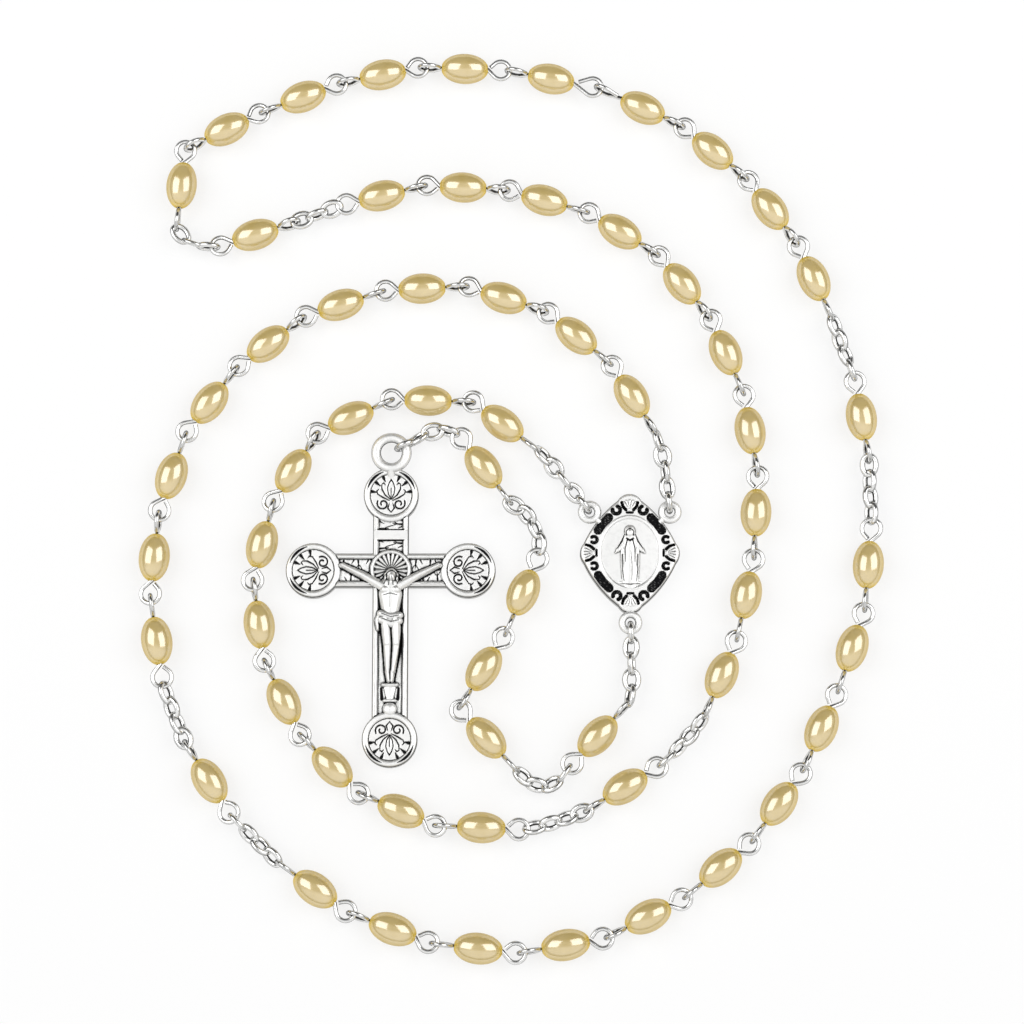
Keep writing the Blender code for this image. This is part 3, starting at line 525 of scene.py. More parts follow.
def plan():
    """Every unit with its placed forms, and the middle of the crucifix's ring."""
    left, right, pendant = strands()
    inner = EAR_RADIUS - EAR_WIRE / 2
    starts = {}
    outward = {"left": Vector(LOOP_ROUTE[0]), "right": Vector(LOOP_ROUTE[-1]),
               "bottom": Vector((0.0, -1.0))}
    for side, heading in outward.items():
        middle = ear_centre(side)
        towards = heading.normalized() if side == "bottom" else (heading * MM - middle).normalized()
        starts[side] = middle + towards * max(inner - JUMP_WIRE / 2 - LOOSE, 0.0)
    left_elements = lay_out(left, None)
    right_elements = lay_out(right, None)
    pendant_elements = lay_out(pendant, RING_WIRE)
    left_heights = set_heights(left_elements, BEAD_HEIGHT)
    right_heights = set_heights(right_elements, BEAD_HEIGHT)
    pendant_heights = set_heights(pendant_elements, CASTING_HEIGHT)
    left_places, right_places = loop_places(left_elements, right_elements, starts)
    hung = pendant_places(pendant, pendant_elements, starts["bottom"])
    units = place_strand(left, left_elements, left_places, left_heights)
    units += place_strand(right, right_elements, right_places, right_heights)
    units += place_strand(pendant, pendant_elements, hung, pendant_heights, True)
    turn = math.radians(CRUCIFIX_CONTACT)
    ring = hung[-1] + Vector((math.cos(turn), math.sin(turn))) * RING_RADIUS
    return units, ring


def new_object(name, data, matrix=None):
    """Put a mesh, curve, lamp or camera into the scene at a place."""
    thing = bpy.data.objects.new(name, data)
    bpy.context.scene.collection.objects.link(thing)
    thing.matrix_world = matrix or Matrix.Identity(4)
    return thing


def wire_mesh(name, points, wire, closed=False):
    """Mesh of a round wire along points."""
    curve = bpy.data.curves.new(name, "CURVE")
    curve.dimensions = "3D"
    curve.bevel_depth = wire / 2
    curve.bevel_resolution = WIRE_RESOLUTION
    curve.use_fill_caps = not closed
    spline = curve.splines.new("POLY")
    spline.points.add(len(points) - 1)
    spline.use_cyclic_u = closed
    for spot, point in zip(spline.points, points):
        spot.co = (*point, 1.0)
    thing = new_object(name, curve)
    bpy.context.view_layer.update()
    mesh = bpy.data.meshes.new_from_object(thing.evaluated_get(bpy.context.evaluated_depsgraph_get()))
    bpy.data.objects.remove(thing, do_unlink=True)
    bpy.data.curves.remove(curve)
    mesh.name = name
    mesh.shade_smooth()
    return mesh


def paint_flank_shade(mesh, loops):
    """Paint shade on a bent wire along the flanks of its loops, as dark outlines, most of all on the inner
    side.

    Each loop is the end of its stretch along X, its middle and the axis square to it.
    """
    patina_and_shade = mesh.attributes.new("patina_and_shade", "FLOAT", "POINT")
    for corner, value in zip(mesh.vertices, patina_and_shade.data):
        _, middle, square = next(loop for loop in loops if corner.co.x <= loop[0])
        flank_shade = (FLANK_START - abs(corner.normal[square])) / FLANK_FADE
        inner = corner.normal.dot(Vector(middle) - corner.co) > 0.0
        value.value = min(max(flank_shade, 0.0), 1.0) * (1.0 if inner else OUTER_FLANK)


def eye_points(centre, outward, upright, mouth):
    """Points of one bent eye: from the bead round the loop and back towards the bead, short of the pin."""
    half = math.pi - math.acos(EYE_RADIUS / mouth)
    spread = EYE_RADIUS / mouth
    gap = (PIN_WIRE + EYE_SLIT) / (2 * spread * mouth)
    loop = [(-mouth, 0.0)]
    count = round(math.degrees(2 * half) / EYE_STEP)
    for step in range(count + 1):
        angle = half * (2 * step / count - 1)
        loop.append((EYE_RADIUS * math.cos(angle), EYE_RADIUS * math.sin(angle)))
    side = math.sqrt(mouth ** 2 - EYE_RADIUS ** 2)
    stop = gap * mouth / side
    last = loop[-1]
    loop.append((last[0] + (-mouth - last[0]) * (1 - stop), last[1] * stop))
    points = []
    for along, across in loop:
        place = centre + outward * along
        points.append((place, 0.0, across) if upright else (place, across, 0.0))
    return points


def pin_mesh(name, longer=0.0, upright_end=False):
    """Wire pin along +X: upright eye at the start, and at the end a flat eye unless told otherwise."""
    mouth = EYE_RADIUS + NECK
    first_eye = eye_points(EYE_RADIUS, -1, True, mouth)
    last_eye = eye_points(BEAD_PITCH_LENGTH + longer - EYE_RADIUS, 1, upright_end, mouth + longer)
    mesh = wire_mesh(name, list(reversed(first_eye)) + last_eye, PIN_WIRE * PIN_PLUMP)
    first_loop = (BEAD_PITCH_LENGTH / 2, (EYE_RADIUS, 0.0, 0.0), ACROSS)
    last_middle = (BEAD_PITCH_LENGTH + longer - EYE_RADIUS, 0.0, 0.0)
    paint_flank_shade(mesh, [first_loop, (math.inf, last_middle, ACROSS if upright_end else UP)])
    return mesh


def ring_mesh(kind):
    """Link or jump ring along +X, lying flat."""
    length, wire = SIZES[kind]
    width = LINK_WIDTH - LINK_WIRE if kind == "link" else length
    wire *= RING_PLUMP
    points = []
    count = round(360.0 / EYE_STEP)
    for step in range(count):
        angle = math.radians(EYE_STEP * step)
        points.append((length / 2 * (1 - math.cos(angle)), width / 2 * math.sin(angle), 0.0))
    mesh = wire_mesh(kind, points, wire, closed=True)
    paint_flank_shade(mesh, [(math.inf, (length / 2, 0.0, 0.0), UP)])
    return mesh


def pearl_mesh():
    """Oval bead along X, turned from its profile, with a small drilled hole at each end."""
    widest = math.acos(BEAD_END / BEAD_DIAMETER)
    middle = BEAD_PITCH_LENGTH / 2
    half = BEAD_LENGTH / 2
    hole = PIN_WIRE / 2 * HOLE_PLAY
    profile = [(-half + BEAD_END, hole), (-half + HOLE_LIP, hole)]
    for step in range(BEAD_BANDS + 1):
        angle = widest * (2 * step / BEAD_BANDS - 1)
        profile.append((half * math.sin(angle) / math.sin(widest), BEAD_DIAMETER / 2 * math.cos(angle)))
    profile += [(half - HOLE_LIP, hole), (half - BEAD_END, hole)]
    form = bmesh.new()
    corners = [form.verts.new((middle + along, 0.0, -out)) for along, out in profile]
    edges = [form.edges.new(pair) for pair in zip(corners, corners[1:])]
    bmesh.ops.spin(form, geom=corners + edges, cent=(0.0, 0.0, 0.0), axis=(1.0, 0.0, 0.0),
                   angle=2 * math.pi, steps=BEAD_SEGMENTS, use_merge=True)
    bmesh.ops.recalc_face_normals(form, faces=form.faces)
    mesh = bpy.data.meshes.new("pearl")
    form.to_mesh(mesh)
    form.free()
    mesh.shade_smooth()
    return mesh


def bulge(away, half):
    """Round hump, 1 in its middle and 0 from half its width outwards."""
    return np.sqrt(np.clip(1 - (away / half) ** 2, 0, 1))


class Relief:
    """A casting's upper surface on a fine grid, in millimetres."""

    def __init__(self, low, high, step):
        across = np.arange(low[0], high[0] + step, step)
        along = np.arange(low[1], high[1] + step, step)
        self.step = step
        self.x, self.y = np.meshgrid(across, along, indexing="ij")
        self.height = np.zeros_like(self.x)
        self.patina_and_shade = np.zeros_like(self.x)

    def window(self, points, reach):
        """Slices of the grid that hold points and a margin."""
        points = np.array(points)
        corner = (self.x[0, 0], self.y[0, 0])
        low = ((points.min(axis=0) - reach - corner) / self.step).astype(int)
        high = ((points.max(axis=0) + reach - corner) / self.step).astype(int) + 2
        low = np.maximum(low, 0)
        return slice(low[0], max(high[0], 0)), slice(low[1], max(high[1], 0))

    def profile(self, points, widths):
        """Round section of a stroke, 0 at its edge to 1 on its crest, with one width or one a point."""
        if not hasattr(widths, "__len__"):
            widths = [widths] * len(points)
        spot = self.window(points, max(widths))
        x, y = self.x[spot], self.y[spot]
        best = np.zeros_like(x)
        for (one, two), (start, end) in zip(zip(points, points[1:]), zip(widths, widths[1:])):
            run = np.array(two) - np.array(one)
            share = ((x - one[0]) * run[0] + (y - one[1]) * run[1]) / max(run @ run, TINY)
            share = np.clip(share, 0, 1)
            away = (x - one[0] - share * run[0]) ** 2 + (y - one[1] - share * run[1]) ** 2
            best = np.maximum(best, 1 - away / (start + (end - start) * share) ** 2)
        return spot, np.sqrt(np.clip(best, 0, 1))

    def ridge(self, points, widths, base, rise):
        """Raise a rounded stroke along points."""
        spot, crest = self.profile(points, widths)
        raised = np.where(crest > 0, base + rise * crest, -1.0)
        self.height[spot] = np.maximum(self.height[spot], raised)

    def groove(self, points, widths, depth):
        """Cut a rounded line along points and stain it."""
        spot, crest = self.profile(points, widths)
        self.height[spot] -= depth * crest
        self.patina_and_shade[spot] = np.maximum(self.patina_and_shade[spot], crest)

    def pocket(self, points, width, floor):
        """Sink a flat blackened pocket along points."""
        spot, crest = self.profile(points, width)
        x, y = self.x[spot], self.y[spot]
        sunk = crest > POCKET_EDGE
        bottom = floor + POCKET_GRAIN * grain(x, y, POCKET_MOTTLE)
        black = POCKET_STAIN + (1 - POCKET_STAIN) * grain(x, y, STAIN_MOTTLE)
        self.height[spot] = np.where(sunk, bottom, self.height[spot])
        self.patina_and_shade[spot] = np.where(sunk, black, self.patina_and_shade[spot])

    def dome(self, centre, radii, base, rise):
        """Raise a rounded oval."""
        spot = self.window([centre], max(radii))
        away = ((self.x[spot] - centre[0]) / radii[0]) ** 2 + ((self.y[spot] - centre[1]) / radii[1]) ** 2
        raised = np.where(away < 1, base + rise * np.sqrt(np.clip(1 - away, 0, 1)), -1.0)
        self.height[spot] = np.maximum(self.height[spot], raised)

    def blurred_height(self, reach):
        """The height averaged twice over a number of grid steps each way."""
        field = self.height
        for axis in (0, 1, 0, 1):
            total = np.zeros_like(field)
            for shift in range(-reach, reach + 1):
                total += np.roll(field, shift, axis)
            field = total / (2 * reach + 1)
        return field

    def tarnish(self, reach, full):
        """Stain what lies lower than its surroundings."""
        hollow = self.blurred_height(reach) - self.height
        self.patina_and_shade = np.clip(np.maximum(self.patina_and_shade, hollow / full), 0, 1)

    def outline(self, inside):
        """Paint shade along the outermost edge, as a dark outline."""
        depth = inside(self.x, self.y)
        self.patina_and_shade = np.maximum(self.patina_and_shade, OUTLINE_SHADE * np.clip(1 - depth / OUTLINE_WIDTH, 0, 1))

    def snap(self, inside, outer):
        """Grid with its outer points drawn in to the outline."""
        x, y = self.x.copy(), self.y.copy()
        nudge = self.step * NUDGE
        for _ in range(SNAP_ROUNDS):
            here = inside(x[outer], y[outer])
            slope_x = (inside(x[outer] + nudge, y[outer]) - here) / nudge
            slope_y = (inside(x[outer], y[outer] + nudge) - here) / nudge
            size = np.maximum(slope_x ** 2 + slope_y ** 2, LEAST_SLOPE)
            x[outer] -= here * slope_x / size
            y[outer] -= here * slope_y / size
        return x, y

    def mesh(self, name, inside):
        """Closed mesh of the relief within an outline, given by its distance, positive inside."""
        keep = inside(self.x, self.y) > 0
        cells = keep[:-1, :-1] | keep[1:, :-1] | keep[:-1, 1:] | keep[1:, 1:]
        used = np.zeros_like(keep)
        for one in (slice(None, -1), slice(1, None)):
            for two in (slice(None, -1), slice(1, None)):
                used[one, two] |= cells
        x, y = self.snap(inside, used & ~keep)
        number = np.full(keep.shape, -1)
        number[used] = np.arange(used.sum())
        tops = np.stack([x[used], y[used], self.height[used]], axis=1) * MM
        corners = np.stack([number[:-1, :-1], number[1:, :-1], number[1:, 1:], number[:-1, 1:]], axis=-1)
        mesh = bpy.data.meshes.new(name)
        mesh.from_pydata(tops.tolist(), [], corners[cells].tolist())
        patina_and_shade = mesh.attributes.new("patina_and_shade", "FLOAT", "POINT")
        patina_and_shade.data.foreach_set("value", self.patina_and_shade[used].astype(np.float32))
        close_below(mesh)
        mesh.shade_smooth()
        mesh.set_sharp_from_angle(angle=math.radians(SHARP_ANGLE))
        return mesh


def close_below(mesh):
    """Give a relief its side wall, with a lip under the edge, and a flat back."""
    form = bmesh.new()
    form.from_mesh(mesh)
    layer = form.verts.layers.float["patina_and_shade"]
    lowest = [edge for edge in form.edges if edge.is_boundary]
    for drop in (WALL_LIP, None):
        wall = bmesh.ops.extrude_edge_only(form, edges=lowest)["geom"]
        lowest = [edge for edge in wall if isinstance(edge, bmesh.types.BMEdge) and edge.is_boundary]
        for corner in wall:
            if isinstance(corner, bmesh.types.BMVert):
                corner.co.z = corner.co.z - drop if drop else 0.0
                # The new side wall gets painted shade
                corner[layer] = WALL_SHADE
    bmesh.ops.holes_fill(form, edges=lowest, sides=0)
    bmesh.ops.recalc_face_normals(form, faces=form.faces)
    form.to_mesh(mesh)
    form.free()


def arc(centre, radius, start, end, steps=12):
    """Points on an arc between two angles in degrees."""
    turns = np.radians(np.linspace(start, end, steps + 1))
    return [(centre[0] + radius * math.cos(t), centre[1] + radius * math.sin(t)) for t in turns]


def spiral(centre, radius, start, turn, steps=16, close=0.35):
    """Points of a scroll winding in from its outer end; turn is its angle in degrees."""
    points = []
    for step in range(steps + 1):
        share = step / steps
        angle = math.radians(start + turn * share)
        size = radius * (1 - (1 - close) * share)
        points.append((centre[0] + size * math.cos(angle), centre[1] + size * math.sin(angle)))
    return points


def turned(points, angle, centre=(0.0, 0.0)):
    """Points turned about the origin and moved."""
    c, s = math.cos(math.radians(angle)), math.sin(math.radians(angle))
    return [(centre[0] + c * x - s * y, centre[1] + s * x + c * y) for x, y in points]


def scaled(points, across, along):
    """Points with each coordinate multiplied, to mirror them."""
    return [(across * x, along * y) for x, y in points]


def grain(x, y, scale):
    """Smooth even mottling between -1 and 1."""
    first = np.sin(x * scale + 1.7 * np.sin(y * scale * 0.9))
    second = np.sin(y * scale * 1.1 + 1.3 * np.sin(x * scale * 0.7))
    return first * second


def medal_inside(x, y):
    """Distance inside the medal's outline: a straight-sided lozenge with a round lobe on each corner."""
    size = (np.abs(x) / LOZENGE_HALF[0]) ** LOZENGE_POWER + (np.abs(y) / LOZENGE_HALF[1]) ** LOZENGE_POWER
    depth = (1 - (size + TINY) ** (1 / LOZENGE_POWER)) * LOZENGE_DEPTH
    for across, along, radius in CORNER_LOBES:
        depth = np.maximum(depth, radius - np.hypot(x - across, y - along))
    return depth


def shell(relief, hinge, outward):
    """Fanned shell between two blackened gaps, with a third gap at its hinge."""
    for side in (-1, 1):
        relief.pocket(turned(scaled(SHELL_GAP, 1, side), outward, hinge), 0.2, MEDAL_FLOOR)
    relief.pocket(turned([(-0.22, -0.36), (-0.22, 0.36)], outward, hinge), 0.15, MEDAL_FLOOR)
    for spread in SHELL_RIBS:
        tip = turned([(1.3, 0.0)], outward + spread, hinge)[0]
        relief.ridge([hinge, tip], [0.1, 0.24], MEDAL_TOP - 0.1, 0.2)
    for spread in SHELL_LINES:
        line = turned([(0.35, 0.0), (1.35, 0.0)], outward + spread, hinge)
        relief.groove(line, [0.02, 0.04], 0.06)


def medal_figure(relief):
    """Standing veiled figure in a long robe, arms lowered and open."""
    relief.dome((0.0, HEM + 0.05), (1.5, 0.3), OVAL_LEVEL, 0.16)
    relief.ridge([(0.0, 2.2), (0.0, 0.6), (0.0, HEM)], [0.7, 0.8, 0.95], OVAL_LEVEL, 0.36)
    for side in (-1, 1):
        for points, widths, rise in FIGURE_RIDGES:
            relief.ridge(scaled(points, side, 1), widths, OVAL_LEVEL, rise)
    head = (0.0, 2.62)
    relief.dome((0.0, 2.75), (0.7, 0.9), OVAL_LEVEL, 0.5)
    relief.dome(head, (0.42, 0.56), OVAL_LEVEL + 0.12, 0.46)
    for side in (-1, 1):
        relief.groove(arc(head, 0.5, 90, 90 + side * 130), 0.07, 0.12)
        for points, widths, depth in FIGURE_FOLDS:
            relief.groove(scaled(points, side, 1), widths, depth)
    for points, widths, depth in MIDDLE_FOLDS:
        relief.groove(points, widths, depth)


def medal_relief():
    """Relief of the medal's face: blackened pockets, scrolls and shells round the oval field."""
    relief = Relief(scaled([MEDAL_REACH], -1, -1)[0], MEDAL_REACH, MEDAL_STEP)
    x, y = relief.x, relief.y
    edge = np.clip(medal_inside(x, y) / MEDAL_ROUNDING, 0, 1)
    relief.height = MEDAL_FLOOR + (MEDAL_TOP - MEDAL_FLOOR) * np.sqrt(1 - (1 - edge) ** 2)
    for quarter in ((1, 1), (-1, 1), (1, -1), (-1, -1)):
        relief.pocket(scaled(BAR, *quarter), BAR_WIDTH, MEDAL_FLOOR)
        for centre, radius, opening in SCROLLS:
            hook = arc(centre, radius, opening + SCROLL_ENDS[0], opening + SCROLL_ENDS[1])
            relief.pocket(scaled(hook, *quarter), radius * SCROLL_WIDTH, MEDAL_FLOOR)
    for hinge, outward in SHELLS:
        shell(relief, hinge, outward)
    oval = np.hypot(x / OVAL_HALF[0], y / OVAL_HALF[1])
    away = (1 - oval) * OVAL_HALF[0]
    field = away > 0
    relief.height = np.where(field, OVAL_LEVEL + OVAL_SWELL * np.clip(1 - oval ** 2, 0, 1), relief.height)
    rim = bulge(away - RIM_MIDDLE, RIM_HALF)
    relief.height = np.maximum(relief.height, np.where(rim > 0, RIM_LEVEL + RIM_RISE * rim, 0.0))
    relief.patina_and_shade = np.where(field | (rim > 0), 0.0, relief.patina_and_shade)
    medal_figure(relief)
    cut = relief.patina_and_shade.copy()
    relief.tarnish(*MEDAL_TARNISH)
    plain = (edge < 1) | (np.abs(away) < RIM_CLEAR)
    relief.patina_and_shade = np.maximum(cut, np.where(plain, 0.0, relief.patina_and_shade))
    # Painted shade: a dark line along the medal's outer edge
    relief.outline(medal_inside)
    return relief.mesh("medal_face", medal_inside)


def bar_depths(x, y):
    """Distances inside the shaft and inside the arms."""
    shaft = np.minimum(SHAFT_HALF - np.abs(x), np.minimum(TOP_LOBE - y, y - BOTTOM_LOBE))
    arms = np.minimum(ARM_HALF - np.abs(y - ARMS), ARM_LOBE_REACH - np.abs(x))
    return shaft, arms


def crucifix_inside(x, y):
    """Distance inside the crucifix's outline."""
    shaft, arms = bar_depths(x, y)
    depth = np.maximum(shaft, arms)
    for across, along, _ in LOBES:
        depth = np.maximum(depth, LOBE_RADIUS - np.hypot(x - across, y - along))
    return depth


def palmette(relief, centre, outward):
    """Palmette cut into a lobe: a lily between curling leaves and scrolls, with crescents in the rim."""
    def cut(points, widths, depth=0.12):
        relief.groove(turned(points, outward, centre), widths, depth)
    middle = (0.0, 0.0)
    cut(arc(middle, LOBE_RADIUS - 0.86, 0.0, 360.0, 36), 0.05)
    for side in (-1, 1):
        for points, widths in PALMETTE:
            cut(scaled(points, 1, side), widths)
        for spread, inner in WEDGES:
            cut(turned([(2.5, 0.0), (inner, 0.0)], side * spread), [0.25, 0.05], 0.18)
        cut(spiral((-1.2, side * 1.05), 0.8, side * 60.0, side * 420.0, close=0.3), 0.12, 0.15)
        crescent = arc(middle, LOBE_RADIUS - LOBE_RIM, side * CRESCENT[0], side * CRESCENT[1])
        swell = [math.sin(math.pi * step / (len(crescent) - 1)) for step in range(len(crescent))]
        cut(crescent, [0.03 + 0.19 * size for size in swell])
    cut([(-0.3, 0.0), (0.9, 0.0)], [0.04, 0.08])


def foliage(relief, start, end, half):
    """Wavy stem and leaves cut along a bar's field."""
    start = np.array(start)
    run = np.array(end) - start
    length = float(np.hypot(*run))
    along = run / length
    across = np.array((-along[1], along[0]))
    count = max(round(length / LEAF_PITCH), 2)
    stem = []
    for step in range(count * 6 + 1):
        share = step / (count * 6)
        wave = math.sin(share * count * math.pi) * half * 0.5
        stem.append(start + run * share + across * wave)
    relief.groove(stem, 0.06, 0.14)
    for step in range(count):
        out = across * (half if step % 2 else -half)
        root = start + run * (step + 0.5) / count
        relief.groove([root - out * 0.92 + along * 0.1, root - out * 0.15], [0.15, 0.03], 0.16)
        relief.groove([root + out * 0.95 - along * 0.25, root + out * 0.62], [0.11, 0.03], 0.16)


def corpus(relief):
    """Figure with outstretched arms, bowed head, cloth at the hips and legs close together."""
    level = CROSS_FLOOR + 0.12
    chest = ARMS - 2.5
    waist = ARMS - 5.2
    hips = ARMS - 6.3
    knees = ARMS - 10.0
    feet = ARMS - 13.9
    ridge, dome, groove = relief.ridge, relief.dome, relief.groove
    for side in (-1, 1):
        armpit = (side * 0.6, ARMS - 2.4)
        shoulder = (side * 1.35, ARMS - 1.95)
        elbow = (side * 3.7, ARMS - 0.6)
        hand = (side * 6.2, ARMS + 0.6)
        ridge([armpit, shoulder, elbow, hand], [0.85, 0.7, 0.52, 0.36], level, 0.98)
        dome(hand, (0.55, 0.4), level, 0.72)
        knee = side * 0.6 + 0.22
        ridge([(side * 0.66, hips), (knee, knees + 0.4)], [0.74, 0.6], level, 1.16)
        ridge([(knee, knees + 0.2), (side * 0.34 + 0.05, feet + 0.7)], [0.58, 0.34], level, 1.0)
        ridge([(side * 0.3, feet + 0.7), (side * 0.2 + 0.05, feet - 0.5)], [0.38, 0.28], level, 0.9)
        shade = [(side * 1.34 + 0.1, hips - 1.3), (side * 1.12 + 0.16, knees), (side * 0.78, feet + 0.6)]
        groove(shade, [0.04, 0.14, 0.06], 0.1)
    trunk = [(0.0, ARMS - 2.2), (0.0, chest - 0.6), (0.0, waist), (0.0, hips)]
    ridge(trunk, [1.55, 1.6, 1.2, 1.3], level, 1.1)
    for side in (-1, 1):
        dome((side * 0.66, chest - 0.1), (0.72, 0.62), level + 0.42, 0.78)
    belt = [(-1.25, hips + 0.55), (0.0, hips + 0.2), (1.25, hips + 0.35)]
    ridge(belt, [0.5, 0.55, 0.45], level + 0.5, 0.76)
    cloth = [(-1.2, hips - 0.2), (0.2, hips - 0.75), (1.15, hips - 0.35)]
    ridge(cloth, [0.55, 0.6, 0.5], level + 0.42, 0.78)
    knot = [(-1.35, hips + 0.5), (-1.72, hips - 0.3), (-1.6, hips - 1.5)]
    ridge(knot, [0.4, 0.34, 0.2], level, 1.0)
    for lift in (0.3, -0.3):
        fold = hips + lift
        groove([(-1.1, fold + 0.25), (0.1, fold - 0.2), (1.1, fold)], 0.05, 0.1)
    groove([(-0.9, chest - 0.85), (0.0, chest - 0.6), (0.9, chest - 0.85)], 0.05, 0.06)
    groove([(0.0, chest + 0.2), (0.0, waist + 0.3)], 0.04, 0.05)
    groove([(0.12, hips - 1.4), (0.24, knees), (0.06, feet + 0.8)], [0.05, 0.09, 0.05], 0.2)
    dome((0.0, waist - 0.1), (0.12, 0.12), level + 0.9, 0.12)
    ridge([(0.1, ARMS - 1.6), (0.05, ARMS - 0.9)], [0.5, 0.5], level, 1.1)
    dome((0.1, ARMS - 0.75), (0.8, 0.98), level + 0.42, 0.88)
    dome((0.16, ARMS - 0.95), (0.55, 0.68), level + 0.68, 0.78)
    for side in (-1, 1):
        groove(arc((0.14, ARMS - 0.85), 0.66, 80, 80 + side * 110), 0.08, 0.16)
        hair = [(side * 0.7 + 0.1, ARMS - 0.6), (side * 0.78 + 0.1, ARMS - 1.5)]
        ridge(hair, [0.3, 0.2], level, 1.06)


def bars_relief(relief):
    """Bars with raised borders round a leafy field, and the bare plaque."""
    x, y = relief.x, relief.y
    bars = np.maximum(*bar_depths(x, y))
    edge = bulge(bars - BORDER_MIDDLE, BORDER_HALF)
    floor = CROSS_FLOOR + FIELD_LIFT + FIELD_GRAIN * grain(x, y, FIELD_MOTTLE)
    low = np.where(bars > BORDER_MIDDLE, floor, CROSS_FLOOR)
    relief.height = low + (CROSS_TOP - CROSS_FLOOR) * edge
    inner = np.minimum(SHAFT_HALF - np.abs(x), ARM_HALF - np.abs(y - ARMS)) > BORDER_INNER
    relief.height = np.where(inner, floor, relief.height)
    for start, end in SHAFT_LEAVES:
        foliage(relief, (0.0, start), (0.0, end), SHAFT_LEAF_HALF)
    for side in (-1, 1):
        end = side * (ARM_LOBE_REACH - LOBE_RADIUS)
        foliage(relief, (side * ARM_LEAVES_START, ARMS), (end, ARMS), ARM_LEAF_HALF)
    plaque = (np.abs(x) < PLAQUE_HALF[0]) & (np.abs(y - ARMS - PLAQUE_HEIGHT) < PLAQUE_HALF[1])
    relief.height = np.where(plaque, CROSS_TOP + PLAQUE_RISE, relief.height)
    relief.patina_and_shade = np.where(plaque, 0.0, relief.patina_and_shade)
    for lift in PLAQUE_LINES:
        relief.groove([(-PLAQUE_LINE_HALF, ARMS + lift), (PLAQUE_LINE_HALF, ARMS + lift)], 0.09, 0.1)


def halo_relief(relief):
    """Disc of rays within a ring, behind the head; gives back the rays' stain."""
    x, y = relief.x, relief.y
    out = np.hypot(x, y - ARMS)
    disc = out < HALO_RADIUS
    turn = (np.degrees(np.arctan2(y - ARMS, x)) + 360.0) % RAY_PITCH
    rays = np.abs(turn - RAY_PITCH / 2) / (RAY_PITCH / 2)
    ray_field = CROSS_TOP - 0.25 + 0.22 * np.clip(rays * 1.6 - 0.2, 0, 1)
    ring = bulge(out - HALO_RING, HALO_RING_HALF)
    ring_field = np.where(ring > 0, CROSS_TOP - 0.3 + 0.5 * ring, 0.0)
    relief.height = np.where(disc, np.maximum(ray_field, ring_field), relief.height)
    return np.where((out < RAY_END) & (out > RAY_START), np.clip(1 - rays * 2.4, 0, 1), 0.0)


def lobes_relief(relief):
    """Round lobes with a raised rim and a palmette, on the ends of the bars."""
    for across, along, outward in LOBES:
        away = LOBE_RADIUS - np.hypot(relief.x - across, relief.y - along)
        rim = bulge(away - LOBE_RIM, LOBE_RIM_HALF)
        plate = np.where(away > LOBE_RIM, CROSS_FLOOR + LOBE_PLATE, 0.0)
        carved = np.maximum(CROSS_FLOOR + (CROSS_TOP - CROSS_FLOOR) * rim, plate)
        relief.height = np.where(away > 0, carved, relief.height)
        relief.patina_and_shade = np.where(away > 0, 0.0, relief.patina_and_shade)
        palmette(relief, (across, along), outward)


def foot_relief(relief):
    """Small rest under the feet, on a waisted block over a ball."""
    relief.ridge([(-0.85, FOOT), (0.85, FOOT)], 0.3, CROSS_FLOOR, 0.62)
    relief.ridge([(0.0, FOOT - 0.4), (0.0, FOOT - 1.7)], [0.8, 0.5], CROSS_FLOOR + 0.2, 0.3)
    relief.ridge([(-0.7, FOOT - 2.0), (0.7, FOOT - 2.0)], 0.26, CROSS_FLOOR, 0.55)
    for side in (-1, 1):
        relief.groove([(side * 1.12, FOOT - 0.45), (side * 1.02, FOOT - 1.75)], [0.2, 0.28], 0.12)
    relief.dome((0.0, FOOT - 3.1), (0.95, 0.95), CROSS_FLOOR, 0.75)


def crucifix_relief():
    """Relief of the crucifix's face, with its ring's middle at the origin."""
    reach = ARM_LOBE_REACH + CROSS_MARGIN
    relief = Relief((-reach, BOTTOM_LOBE - CROSS_MARGIN), (reach, TOP_LOBE + CROSS_MARGIN), CRUCIFIX_STEP)
    bars_relief(relief)
    ray_stain = halo_relief(relief)
    lobes_relief(relief)
    foot_relief(relief)
    ground = relief.height.copy()
    ground_stain = relief.patina_and_shade
    relief.patina_and_shade = np.zeros_like(ground)
    corpus(relief)
    raised = relief.height > ground + 0.02
    relief.patina_and_shade = np.where(raised, relief.patina_and_shade, np.maximum(relief.patina_and_shade, ground_stain))
    relief.tarnish(*CROSS_TARNISH)
    relief.patina_and_shade = np.clip(np.maximum(relief.patina_and_shade, ray_stain), 0, 1)
    relief.patina_and_shade *= np.clip(crucifix_inside(relief.x, relief.y) / CROSS_CLEAN_EDGE, 0, 1)
    # Painted shade: a dark line along the crucifix's outer edge
    relief.outline(crucifix_inside)
    return relief.mesh("crucifix_face", crucifix_inside)


def torus_mesh(name, radius, wire):
    """Ring lying flat about the origin."""
    points = arc((0.0, 0.0), radius, 0.0, 360.0 - EYE_STEP, round(360.0 / EYE_STEP) - 1)
    mesh = wire_mesh(name, [(x, y, 0.0) for x, y in points], wire, closed=True)
    paint_flank_shade(mesh, [(math.inf, (0.0, 0.0, 0.0), UP)])
    return mesh


def new_material(name, settings):
    """New node material, its node tree and its shader with some inputs set."""
    material = bpy.data.materials.new(name)
    material.use_nodes = True
    shader = material.node_tree.nodes["Principled BSDF"]
    set_inputs(shader, settings)
    return material, material.node_tree, shader


def set_inputs(node, values):
    """Set several of a node's inputs."""
    for name, value in values.items():
        node.inputs[name].default_value = value


